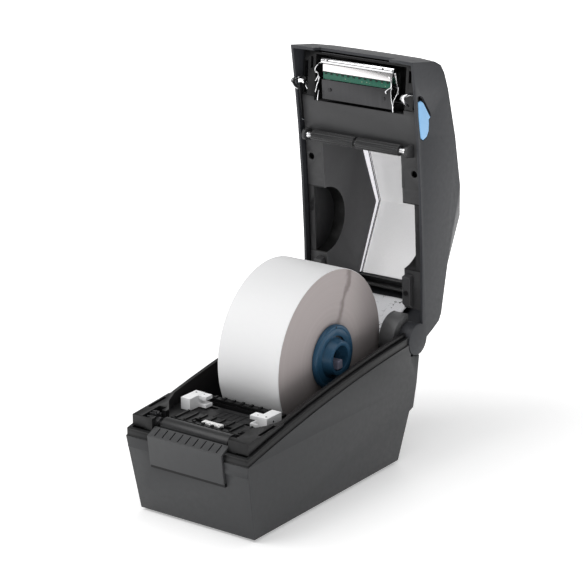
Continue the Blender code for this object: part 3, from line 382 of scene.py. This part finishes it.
def paper_ends():
    """Ends of the wound web: hundreds of layers, a rubbed streak, a painted shadow around the hub, and painted
    shade darkening the low and rear parts.
    """
    made = Surface("paper_ends", (0.47, 0.422, 0.415), 0.75)
    made.set(Specular_IOR_Level=0.2)
    radius, y, z, _ = made.axis_distance(ROLL)
    layers = made.node("TexNoise", Scale=1.0, Detail=3.0, Roughness=0.7)
    layers.noise_dimensions = "1D"
    made.links.new(made.maths("MULTIPLY", radius, 5200.0), layers.inputs["W"])
    bands = made.node("TexNoise", Scale=1.0, Detail=2.0)
    bands.noise_dimensions = "1D"
    made.links.new(made.maths("MULTIPLY", radius, 420.0), bands.inputs["W"])
    made.tint(layers.outputs[0], (0.33, 0.29, 0.285), 0.42)
    made.tint(bands.outputs[0], (0.54, 0.49, 0.485), 0.35)
    angle = made.maths("ARCTAN2", z, y)
    wobble = made.maths("MULTIPLY", made.maths("SUBTRACT", made.noise(90.0, 4.0), 0.5), 0.22)
    off = made.maths("ABSOLUTE", made.maths("SUBTRACT", made.maths("ADD", angle, wobble), math.radians(67)))
    across = made.maths("MULTIPLY", off, radius)
    streak = made.node("MapRange", Value=across, From_Min=0.0, From_Max=4.2 * MM, To_Min=1.0, To_Max=0.0)
    streak.interpolation_type = "SMOOTHSTEP"
    made.tint(streak.outputs[0], (0.16, 0.13, 0.125), 0.62)
    # Painted shadow: darker near the hub, where its flange shades the roll's end.
    centre = made.node("MapRange", Value=radius, From_Min=22 * MM, From_Max=36 * MM, To_Min=1.0, To_Max=0.0)
    made.tint(centre.outputs[0], (0.30, 0.265, 0.26), 0.4)
    # Painted shade: darker towards the bottom and towards the rear.
    low = made.node("MapRange", Value=z, From_Min=6 * MM, From_Max=-46 * MM)
    low.interpolation_type = "SMOOTHSTEP"
    made.tint(low.outputs[0], (0.13, 0.12, 0.12), 0.75)
    painted_rear_shade = made.node("MapRange", Value=y, From_Min=20 * MM, From_Max=60 * MM)
    painted_rear_shade.interpolation_type = "SMOOTHSTEP"
    made.tint(painted_rear_shade.outputs[0], (0.17, 0.155, 0.155), 0.6)
    made.bump(layers.outputs[0], 0.05 * MM)
    return made.mat


def core_card():
    made = Surface("core_card", (0.42, 0.33, 0.24), 0.8)
    made.tint(made.noise(500.0, 5.0), (0.28, 0.21, 0.15), 0.6)
    made.bump(made.noise(900.0, 3.0), 0.04 * MM)
    return made.mat


def circuit_board(name):
    """Green lacquered board with etched tracks, vias and a clear coat."""
    made = Surface(name, (0.006, 0.085, 0.052), 0.40)
    made.set(Coat_Weight=0.15, Coat_Roughness=0.2, Specular_IOR_Level=0.25)
    tracks = made.node("TexBrick", Vector=made.coords, Scale=260.0, Mortar_Size=0.035, Bias=0.0)
    made.tint(made.maths("SUBTRACT", 1.0, tracks.outputs["Fac"]), (0.010, 0.13, 0.080), 0.6)
    made.tint(made.noise(120.0, 4.0), (0.004, 0.045, 0.028), 0.45)
    vias = made.node("TexVoronoi", Vector=made.coords, Scale=330.0).outputs["Distance"]
    spot = made.node("MapRange", Value=vias, From_Min=0.10, From_Max=0.16, To_Min=1.0, To_Max=0.0).outputs[0]
    made.tint(spot, (0.42, 0.42, 0.30), 0.6)
    made.bump(tracks.outputs["Fac"], 0.02 * MM)
    return made.mat


def clear_window():
    """Lightly smoked clear plastic, whitish and glossy; its lower part is painted near white as painted light."""
    made = Surface("window_clear", (0.62, 0.61, 0.63), 0.14)
    made.set(IOR=1.49, Alpha=0.54, Coat_Weight=0.3, Coat_Roughness=0.08)
    height = made.node("SeparateXYZ", Vector=made.coords).outputs[2]
    # Painted light: the lower part of the pane is painted near white, for the brighter light seen through it.
    low = made.node("MapRange", Value=height, From_Min=0.21, From_Max=0.13).outputs[0]
    made.tint(low, (1.0, 0.985, 1.0), 0.95)
    made.tint(made.noise(800.0, 3.0), (0.46, 0.455, 0.47), 0.15)
    made.rough(made.noise(120.0, 3.0), 0.10, 0.24)
    return made.mat


def lamp_cap():
    made = Surface("lamp_green", (0.10, 0.50, 0.16), 0.25)
    made.set(Transmission_Weight=0.3, Coat_Weight=0.3)
    made.tint(made.noise(700.0, 2.0), (0.06, 0.36, 0.11), 0.5)
    return made.mat


def ribbon_cable():
    """White flat cable with parallel conductors showing as fine lines along it."""
    made = Surface("ribbon_white", (0.90, 0.90, 0.92), 0.38)
    parts = made.node("SeparateXYZ", Vector=made.coords).outputs
    wave = made.maths("SINE", made.maths("MULTIPLY", parts[0], 2 * math.pi / (1.27 * MM)))
    lines = made.node("MapRange", Value=wave, From_Min=0.6, From_Max=1.0)
    made.tint(lines.outputs[0], (0.62, 0.63, 0.66), 0.6)
    made.tint(made.noise(240.0, 3.0), (0.80, 0.80, 0.82), 0.4)
    contour = made.maths("ABSOLUTE", made.maths("SUBTRACT", made.noise(190.0, 1.5), 0.5))
    scratch = made.node("MapRange", Value=contour, From_Min=0.016, From_Max=0.008).outputs[0]
    sparse = made.node("MapRange", Value=made.noise(110.0), From_Min=0.50, From_Max=0.54).outputs[0]
    made.tint(made.maths("MULTIPLY", scratch, sparse), (0.02, 0.02, 0.02), 0.95)
    made.bump(wave, 0.05 * MM)
    return made.mat


BLACK = (0.0065, 0.0065, 0.007)
MATERIALS = {
    "case_grey": case_plastic("case_grey", (0.040, 0.041, 0.043)),
    "lid_grey": moulded("lid_grey", (0.031, 0.0325, 0.037), 0.50),
    "cover_grey": moulded("cover_grey", (0.056, 0.057, 0.059), 0.48),
    "frame_black": moulded("frame_black", BLACK, 0.42),
    "lining_grey": lining_plastic("lining_grey", (0.045, 0.045, 0.0465)),
    "hinge_grey": moulded("hinge_grey", (0.110, 0.111, 0.113), 0.34),
    "fitting_black": moulded("fitting_black", (0.004, 0.004, 0.0045), 0.42),
    "guide_white": moulded("guide_white", (0.88, 0.88, 0.885), 0.42, spread=0.02),
    "sensor_white": moulded("sensor_white", (0.88, 0.88, 0.87), 0.42, spread=0.02),
    "hub_blue": moulded("hub_blue", (0.024, 0.080, 0.145), 0.34),
    "button_blue": button_plastic(),
    "gear_nylon": moulded("gear_nylon", (0.50, 0.49, 0.45), 0.45, spread=0.05),
    "bush_nylon": moulded("bush_nylon", (0.022, 0.022, 0.024), 0.35),
    "head_ceramic": metal("head_ceramic", (0.74, 0.72, 0.72), 0.20, (0.05, 1.0, 1.0), 600.0, 0.001 * MM),
    "heat_sink_grey": metal("heat_sink_grey", (0.055, 0.055, 0.057), 0.30, (1.0, 0.08, 0.05), 700.0),
    "plated_steel": metal("plated_steel", (0.62, 0.62, 0.63), 0.30, (0.08, 1.0, 1.0)),
    "bright_chrome": metal("bright_chrome", (0.90, 0.90, 0.91), 0.15, (0.05, 1.0, 1.0), 500.0, 0.002 * MM),
    "gear_brass": metal("gear_brass", (0.78, 0.58, 0.27), 0.28),
    "foot_rubber": rubber("foot_rubber", (0.018, 0.018, 0.019)),
    "roller_rubber": rubber("roller_rubber", (0.009, 0.009, 0.010), 0.36),
    "label_paper": paper_face(),
    "core_card": core_card(),
    "board_green": circuit_board("board_green"),
    "window_clear": clear_window(),
    "lamp_green": lamp_cap(),
    "cable_white": ribbon_cable(),
}
PAPER_ENDS = paper_ends()
PANE_EDGE = moulded("pane_edge", (0.88, 0.87, 0.895), 0.30, grain=0.003 * MM, spread=0.03)
# Painted light: the window's edge skirts glow faintly, standing in for light led along the clear plastic's edge.
edge_glow = PANE_EDGE.node_tree.nodes["Principled BSDF"].inputs
edge_glow["Emission Color"].default_value = (0.97, 0.96, 1.0, 1.0)
edge_glow["Emission Strength"].default_value = 0.60
CATCH_GREY = moulded("catch_grey", (0.26, 0.26, 0.34), 0.40)


# ---- carried-over CAD nodes ---------------------------------------------------------
FINISH_OF = {part["node"]: part["material_slot"] for part in frame["record"]["subparts"]}
FINISH_OF.update({"lid_shell": "lid_grey", "lid_inner_frame": "lining_grey", "latch_shaft": "heat_sink_grey",
                  "tear_bar": "heat_sink_grey"})
EDGE_WIDTH = {
    "base_shell": 0.45, "lid_shell": 0.55, "inner_frame": 0.35, "lid_inner_frame": 0.35, "exit_cover": 0.4,
    "media_guide_left": 0.3, "media_guide_right": 0.3, "roll_arm_left": 0.25, "roll_arm_right": 0.25,
    "hinge_drum_left": 0.5, "hinge_drum_right": 0.5, "bottom_cover": 0.4, "head_heat_sink": 0.3,
    "lid_window": 0.3, "power_jack": 0.4, "serial_port": 0.3, "usb_port": 0.3, "stepper_motor": 0.3,
    "feed_button": 0.4, "power_rocker": 0.4, "latch_button_left": 0.5, "latch_button_right": 0.5,
}
FINE_EDGE = 0.15


def round_edges(obj, width, angle=32, segments=2):
    edge = obj.modifiers.new("rounded_edges", "BEVEL")
    edge.width = width * MM
    edge.segments = segments
    edge.limit_method = "ANGLE"
    edge.angle_limit = math.radians(angle)
    edge.use_clamp_overlap = True
    edge.harden_normals = True
    obj.data.polygons.foreach_set("use_smooth", [True] * len(obj.data.polygons))


def dress(name):
    """Gives a CAD node its finish, welded smooth surfaces and rounded edges."""
    node = NODES[name]
    node.data.materials.clear()
    node.data.materials.append(MATERIALS[FINISH_OF[name]])
    weld = node.modifiers.new("weld", "WELD")
    weld.merge_threshold = 0.02 * MM
    flat = node.modifiers.new("one_face_per_plane", "DECIMATE")
    flat.decimate_type = "DISSOLVE"
    flat.angle_limit = math.radians(0.4)
    round_edges(node, EDGE_WIDTH.get(name, FINE_EDGE))


for node_name in NODES:
    dress(node_name)


# ---- pieces added around the CAD ----------------------------------------------------
def add_piece(name, bm, finish, body, lid=False, edge=0.0, sharp=34):
    """Places a mesh made in the case's millimetres and lets it ride on a body."""
    bmesh.ops.recalc_face_normals(bm, faces=bm.faces)
    mesh = bpy.data.meshes.new(name)
    bm.to_mesh(mesh)
    bm.free()
    mesh.transform(TURN_OPEN @ TO_WORLD if lid else TO_WORLD)
    mesh.shade_smooth()
    mesh.set_sharp_from_angle(angle=math.radians(sharp))
    obj = bpy.data.objects.new(name, mesh)
    bpy.context.scene.collection.objects.link(obj)
    mats = finish if isinstance(finish, (list, tuple)) else [finish]
    for mat in mats:
        mesh.materials.append(MATERIALS[mat] if isinstance(mat, str) else mat)
    if edge:
        round_edges(obj, edge)
    if body:
        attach(obj, body)
    return obj


def add_block(bm, low, high):
    low, high = Vector(low), Vector(high)
    place = Matrix.Translation((low + high) / 2) @ Matrix.Diagonal((*(high - low), 1.0))
    bmesh.ops.create_cube(bm, size=1.0, matrix=place)


def add_prism(bm, outline, low, high, axis):
    """An outline with thickness; it is in (y, z) for axis 0 and in (x, y) for axis 2."""
    ends = []
    for level in (low, high):
        if axis == 0:
            points = [(level, u, v) for u, v in outline]
        else:
            points = [(u, v, level) for u, v in outline]
        ends.append([bm.verts.new(p) for p in points])
    bm.faces.new(ends[0])
    bm.faces.new(ends[1])
    for i in range(len(outline)):
        j = (i + 1) % len(outline)
        bm.faces.new((ends[0][i], ends[0][j], ends[1][j], ends[1][i]))


def add_turned(bm, profile, centre, steps=96, closed=True):
    """Turns (x, radius) points about an X axis through centre (y, z)."""
    rings = []
    for i in range(steps):
        a = 2 * math.pi * i / steps
        rings.append([bm.verts.new((x, centre[0] + r * math.cos(a), centre[1] + r * math.sin(a)))
                      for x, r in profile])
    count = len(profile)
    for i in range(steps):
        a, b = rings[i], rings[(i + 1) % steps]
        for k in range(count if closed else count - 1):
            m = (k + 1) % count
            bm.faces.new((a[k], a[m], b[m], b[k]))


def add_disc(bm, centre, r, thick, axis=2, steps=24):
    turn = {0: Matrix.Rotation(math.pi / 2, 4, "Y"), 1: Matrix.Rotation(math.pi / 2, 4, "X"),
            2: Matrix.Identity(4)}[axis]
    bmesh.ops.create_cone(bm, cap_ends=True, segments=steps, radius1=r, radius2=r, depth=thick,
                          matrix=Matrix.Translation(centre) @ turn)


def trimmed(bm, point, outward):
    """Cuts off what lies beyond a plane and closes the cut."""
    cut = bmesh.ops.bisect_plane(bm, geom=bm.verts[:] + bm.edges[:] + bm.faces[:], plane_co=point,
                                 plane_no=outward, clear_outer=True)
    edges = [e for e in cut["geom_cut"] if isinstance(e, bmesh.types.BMEdge)]
    bmesh.ops.holes_fill(bm, edges=edges)


def smooth_path(points, steps=6):
    """A curve that passes through the points."""
    points = [Vector(p) for p in points]
    ends = [2 * points[0] - points[1]] + points + [2 * points[-1] - points[-2]]
    path = []
    for a, b, c, d in zip(ends, ends[1:], ends[2:], ends[3:]):
        for i in range(steps):
            t = i / steps
            path.append(0.5 * (2 * b + (c - a) * t + (2 * a - 5 * b + 4 * c - d) * t * t
                               + (3 * b - a - 3 * c + d) * t ** 3))
    path.append(points[-1])
    return path


def add_wire(bm, points, r, sides=10, steps=6):
    """Round wire along a smooth path, closed at both ends."""
    path = smooth_path(points, steps)
    ahead = [(path[min(i + 1, len(path) - 1)] - path[max(i - 1, 0)]).normalized() for i in range(len(path))]
    normal = ahead[0].orthogonal().normalized()
    rings = []
    for point, way in zip(path, ahead):
        normal = (normal - way * normal.dot(way)).normalized()
        across = way.cross(normal)
        rings.append([bm.verts.new(point + r * (normal * math.cos(2 * math.pi * i / sides)
                                                + across * math.sin(2 * math.pi * i / sides)))
                      for i in range(sides)])
    for a, b in zip(rings, rings[1:]):
        for i in range(sides):
            j = (i + 1) % sides
            bm.faces.new((a[i], a[j], b[j], b[i]))
    bm.faces.new(rings[0])
    bm.faces.new(rings[-1])


ROLL_YZ = (137.5, 95.0)
ROLL_RADIUS = 65.0
ROLL_SIDE = 27.0
BORE_RADIUS = 14.6


def wound_roll():
    """The web as a smooth roll: white face, layered ends, a card core showing inside."""
    bm = bmesh.new()
    side, soft = ROLL_SIDE, ROLL_RADIUS - 0.4
    profile = [(-side, BORE_RADIUS), (-side, soft), (0.4 - side, ROLL_RADIUS), (side - 0.4, ROLL_RADIUS),
               (side, soft), (side, BORE_RADIUS)]
    add_turned(bm, profile, ROLL_YZ, 192)
    for face in bm.faces:
        if abs(face.calc_center_median().x) > ROLL_SIDE - 0.1:
            face.material_index = 1
    roll = add_piece("wound_paper_roll", bm, [MATERIALS["label_paper"], PAPER_ENDS], "roll")
    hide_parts("label_roll")


def hub_rings():
    """Round flange, recessed ring and hollow boss on each roll arm, black pieces of painted shade, and a grey
    catch.
    """
    flange = [(27.25, 14.4), (27.25, 23.4), (27.6, 23.9), (30.3, 23.9), (30.9, 23.3), (30.9, 21.2),
              (30.5, 20.8), (29.3, 20.5), (29.3, 14.6), (29.8, 13.9), (35.9, 12.9), (36.4, 12.5),
              (36.4, 10.4), (35.9, 9.7), (21.5, 8.8), (21.5, 11.6), (27.0, 12.2)]
    # Painted shade: a black plug closing the bore, a black dot and a black arc stand in for the dark inside of the
    # bore, a small hole and a notch.
    plug = [(21.6, 0.01), (21.6, 9.4), (25.4, 9.4), (25.4, 3.6), (27.0, 3.2), (27.0, 0.01)]
    for name, side in SIDES:
        bm = bmesh.new()
        add_turned(bm, [(side * x, r) for x, r in flange], ROLL_YZ)
        add_piece("hub_ring_" + name, bm, "hub_blue", "arm_" + name, sharp=50)
        bm = bmesh.new()
        add_turned(bm, [(side * x, r) for x, r in plug], ROLL_YZ)
        add_disc(bm, (side * 30.95, 139.3, 117.3), 0.8, 0.3, 0)
        add_prism(bm, arc_band(14.8, 17.6, -20, 75), *ordered(side * 29.25, side * 29.5), 0)
        add_piece("hub_painted_shade_" + name, bm, "fitting_black", "arm_" + name, sharp=40)
        bm = bmesh.new()
        add_prism(bm, [(134.4, 86.6), (140.8, 86.9), (140.2, 93.6), (135.4, 93.2)],
                  *ordered(side * 25.6, side * 36.0), 0)
        add_piece("hub_catch_" + name, bm, CATCH_GREY, "arm_" + name, edge=0.5)


def ordered(a, b):
    """The two in rising order, for a piece on either side."""
    return (a, b) if a < b else (b, a)


def arc_band(inner, outer, start, end, steps=14):
    """A curved strip around the roll's axis, in degrees from +Y towards +Z."""
    turns = [math.radians(start + (end - start) * i / steps) for i in range(steps + 1)]
    band = [(ROLL_YZ[0] + outer * math.cos(a), ROLL_YZ[1] + outer * math.sin(a)) for a in turns]
    band += [(ROLL_YZ[0] + inner * math.cos(a), ROLL_YZ[1] + inner * math.sin(a)) for a in reversed(turns)]
    return band


RIBBON_WIDTH = 47.0


def ribbon():
    """The head's flat cable, laid over the hinge; it rides on no body."""
    across, steps, thick = 24, 8, 0.35
    line = smooth_path([(0, 205.5, 86.6), (0, 210.0, 88.0), (0, 216.5, 90.6), (0, 226.0, 95.2),
                        (0, 238.0, 99.6), (0, 252.0, 105.6)], steps)
    bm = bmesh.new()
    rows = []
    for i, point in enumerate(line):
        row = []
        for j in range(across + 1):
            share = j / across
            ripple = 0.18 * math.sin(9.0 * share + 0.35 * i)
            row.append(bm.verts.new((RIBBON_WIDTH * (share - 0.5), point.y, point.z + ripple)))
        rows.append(row)
    for a, b in zip(rows, rows[1:]):
        for i in range(across):
            bm.faces.new((a[i], a[i + 1], b[i + 1], b[i]))
    cable = add_piece("head_ribbon", bm, "cable_white", None)
    sheet = cable.modifiers.new("ribbon_thickness", "SOLIDIFY")
    sheet.thickness = thick * MM
    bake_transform(cable)
    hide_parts("head_cable")


def head_wires():
    """Bright wire clips that hold the print head, and its small fixings."""
    bm = bmesh.new()
    add_wire(bm, [(27.6, 15.6, 74.0), (29.9, 17.6, 73.3), (31.2, 20.4, 72.9), (31.0, 23.6, 73.0),
                  (28.6, 25.2, 73.0), (26.6, 27.2, 72.9), (27.2, 28.6, 73.2)], 0.5)
    add_wire(bm, [(35.2, 23.2, 76.8), (34.6, 28.2, 76.2), (34.0, 31.2, 74.6), (33.4, 34.0, 73.4),
                  (33.2, 37.0, 73.0), (33.6, 41.5, 73.2)], 0.4)
    add_wire(bm, [(31.6, 24.0, 73.6), (31.4, 26.0, 72.6), (32.0, 30.0, 72.3), (32.9, 34.6, 72.4),
                  (34.0, 38.4, 72.9)], 0.35)
    add_wire(bm, [(-31.6, 13.2, 73.6), (-34.0, 13.8, 74.4), (-36.8, 15.6, 76.5), (-39.0, 18.6, 76.5),
                  (-38.6, 21.2, 76.5), (-36.8, 21.8, 76.7), (-36.0, 23.8, 76.5), (-37.4, 26.4, 76.7),
                  (-38.6, 28.2, 76.9)], 0.5)
    add_wire(bm, [(-35.2, 24.6, 76.8), (-35.8, 28.4, 76.5), (-36.0, 32.0, 74.8), (-36.6, 36.0, 74.2)], 0.55)
    add_wire(bm, [(-33.0, 34.0, 73.4), (-33.2, 38.0, 72.8), (-33.6, 41.6, 73.2)], 0.35)
    add_piece("head_wire_clips", bm, "bright_chrome", "head", lid=True, sharp=70)
    bm = bmesh.new()
    add_disc(bm, (-25.5, 10.9, 72.45), 0.75, 0.5)
    add_disc(bm, (23.5, 10.9, 72.45), 0.75, 0.5)
    add_block(bm, (-31.0, 13.45, 73.2), (31.0, 13.75, 74.2))
    add_block(bm, (-29.8, 19.35, 73.3), (29.8, 19.75, 75.0))
    for i in range(12):
        x = -27.5 + 5.0 * i
        add_block(bm, (x - 0.9, 20.4, 73.6), (x + 0.9, 21.2, 74.1))
    add_piece("head_dark_fittings", bm, "fitting_black", "head", lid=True)
    bm = bmesh.new()
    lip = [(10.2, 73.1), (10.6, 72.7), (11.0, 72.5), (12.2, 72.5), (13.0, 73.0), (13.4, 73.3), (13.4, 74.2),
           (10.2, 74.2)]
    add_prism(bm, lip, -31.6, 31.6, 0)
    add_piece("bracket_lip", bm, "bright_chrome", "head", lid=True, edge=0.2)
    bm = bmesh.new()
    for x in (-24.0, 24.0):
        add_disc(bm, (x, 33.0, 74.5), 1.5, 1.0)
    add_piece("sink_screws", bm, "heat_sink_grey", "head", lid=True, edge=0.2)


PANE = [(82.5, 145.6), (134.0, 168.0), (187.5, 147.4)]


def lid_details():
    """Window skirts glowing with painted light, seams and cross bar, boxes in the lining, black discs of painted
    shade in the lining's holes, roller end caps.
    """
    bm = bmesh.new()
    skirt = [(y, z - 0.3) for y, z in PANE]
    skirt += [(y, z - drop) for (y, z), drop in zip(reversed(PANE), (3.6, 5.4, 8.6))]
    for _, side in SIDES:
        add_prism(bm, skirt, *ordered(side * 34.95, side * 35.28), 0)
    # The skirts carry the pane edge's faint glow, which is painted light.
    add_piece("window_skirts", bm, PANE_EDGE, "lid", lid=True)
    bm = bmesh.new()
    seam = [(y, z - 1.8) for y, z in PANE] + [(y, z - 2.7) for y, z in reversed(PANE)]
    for _, side in SIDES:
        add_prism(bm, seam, *ordered(side * 34.2, side * 34.6), 0)
    add_piece("window_seams", bm, "hinge_grey", "lid", lid=True)
    bm = bmesh.new()
    for _, side in SIDES:
        box = [(167.0, 96.4), (168.6, 91.6), (190.0, 94.2), (193.4, 99.0)]
        add_prism(bm, box, *ordered(side * 36.6, side * 43.6), 0)
    add_piece("lining_boxes", bm, "lining_grey", "lid", lid=True, edge=0.5)
    # Painted shade: black discs sunk in the lining's holes, for the dark inside of each hole.
    bm = bmesh.new()
    for _, side in SIDES:
        add_disc(bm, (side * 40.2, 181.0, 92.9), 1.9, 1.2)
        add_disc(bm, (side * 47.6, 131.0, 93.4), 0.8, 0.5)
        add_disc(bm, (side * 46.3, 88.0, 91.5), 2.9, 0.3)
    add_piece("lining_hole_shade", bm, "fitting_black", "lid", lid=True)
    bm = bmesh.new()
    for _, side in SIDES:
        profile = [(42.1, 0.02), (42.1, 2.0), (42.6, 2.5), (44.2, 2.5), (44.5, 2.2), (44.5, 0.02)]
        add_turned(bm, [(side * x, r) for x, r in profile], (69.8, 77.5), 24)
    add_piece("roller_end_caps", bm, "bright_chrome", "lid_roller", lid=True)
    bm = bmesh.new()
    add_block(bm, (-34.6, 188.6, 141.0), (34.6, 192.6, 147.0))
    add_block(bm, (-34.6, 192.0, 131.6), (34.6, 193.4, 146.0))
    add_piece("window_cross_bar", bm, "frame_black", "lid", lid=True, edge=0.6)


HINGE_YZ = (214.1, 91.6)


def base_details():
    """Clips, rims, pins, screws and ribs of the lower half, black discs and bars of painted shade for holes and
    vents, and a black strip of painted shadow under the exit cover.
    """
    bm = bmesh.new()
    add_prism(bm, [(13.2, 66.0), (16.6, 66.0), (16.9, 70.6), (15.4, 72.4), (13.6, 71.2)], 36.9, 38.6, 0)
    add_block(bm, (36.9, 16.0, 69.2), (40.2, 19.0, 70.0))
    add_piece("platen_clip", bm, "plated_steel", "base", edge=0.3)
    for name, side in SIDES:
        # Painted shade: thin black discs on each guide where it has holes.
        bm = bmesh.new()
        add_disc(bm, (side * 35.2, 52.5 - side * 5.4, 77.52), 0.75, 0.12)
        add_disc(bm, (side * 28.0, 52.5 - side * 5.4, 77.32), 0.5, 0.12)
        add_disc(bm, (side * 38.22, 52.5 - side * 1.0, 73.4), 0.8, 0.12, 0)
        add_piece("guide_hole_shade_" + name, bm, "fitting_black", "guide_" + name)
        bm = bmesh.new()
        rim = [(30.1, 15.2), (30.1, 17.3), (30.5, 17.7), (31.6, 17.7), (31.6, 15.2)]
        add_turned(bm, [(side * x, r) for x, r in rim], HINGE_YZ, 96)
        trimmed(bm, (0, 217.1, 0), (0, 1, 0))
        trimmed(bm, (0, 0, 85.5), (0, 0, -1))
        add_piece("drum_rim_" + name, bm, "hinge_grey", "base")
    bm = bmesh.new()
    add_disc(bm, (-30.0, 186.0, 18.5), 1.0, 8.0, 1)
    for i in range(5):
        add_block(bm, (19.6 + 3.6 * i, 188.2, 19.6), (20.3 + 3.6 * i, 193.0, 20.2))
        if i < 4:
            add_block(bm, (21.4 + 3.6 * i, 188.2, 16.6), (22.1 + 3.6 * i, 193.0, 17.2))
    add_block(bm, (-2.8, 184.2, 16.8), (2.8, 192.5, 20.0))
    add_piece("socket_pins", bm, "gear_brass", "base", edge=0.12)
    bm = bmesh.new()
    for x in (-42.5, 42.5):
        for y in (52.0, 152.0):
            add_disc(bm, (x, y, 0.25), 2.6, 0.9)
    for x in (14.1, 39.9):
        add_disc(bm, (x, 199.0, 18.5), 1.5, 1.6, 1, 6)
    add_piece("case_screws", bm, "plated_steel", "base", edge=0.25)
    # Painted shade: black bars under the floor stand in for vent slots.
    bm = bmesh.new()
    for i in range(9):
        add_block(bm, (-24.0 + 6.0 * i, 70.0, -0.05), (-21.8 + 6.0 * i, 104.0, 0.5))
    add_piece("floor_vent_shade", bm, "fitting_black", "base", edge=0.15)
    bm = bmesh.new()
    for x in (-30.0, -18.0, 2.0, 20.0, 31.0):
        add_block(bm, (x - 3.4, 88.0 + x * 0.4, 10.6), (x + 3.4, 98.0 + x * 0.4, 12.4))
        add_block(bm, (x - 1.8, 120.0 - x * 0.3, 10.6), (x + 1.8, 124.0 - x * 0.3, 12.0))
    add_piece("board_components", bm, "fitting_black", "base", edge=0.2)
    bm = bmesh.new()
    add_block(bm, (-11.0, 57.4, 68.3), (11.0, 58.6, 68.5))
    add_block(bm, (-11.0, 45.6, 68.3), (11.0, 46.4, 68.5))
    for x in (-10.0, -5.0, 0.0, 5.0, 10.0):
        add_block(bm, (x - 0.4, 46.0, 68.3), (x + 0.4, 57.6, 68.5))
    add_piece("deck_ribs", bm, "frame_black", "base", edge=0.15)
    bm = bmesh.new()
    add_block(bm, (-32.8, 1.9, 38.7), (32.8, 4.9, 41.3))
    add_piece("cover_shadow_strip", bm, "fitting_black", "base")


def button_details():
    """A thin raised thumb mark on each release button."""
    for name, side in SIDES:
        bm = bmesh.new()
        groove = [(37.9, 83.2), (38.6, 82.6), (45.6, 79.6), (46.6, 88.6), (46.0, 89.2), (44.6, 80.9)]
        add_prism(bm, groove, *ordered(side * 54.15, side * 54.33), 0)
        add_piece("button_mark_" + name, bm, "button_blue", "release_" + name, lid=True, edge=0.08)


wound_roll()
hub_rings()
ribbon()
head_wires()
lid_details()
base_details()
button_details()
make_camera()
make_studio()
make_floor()
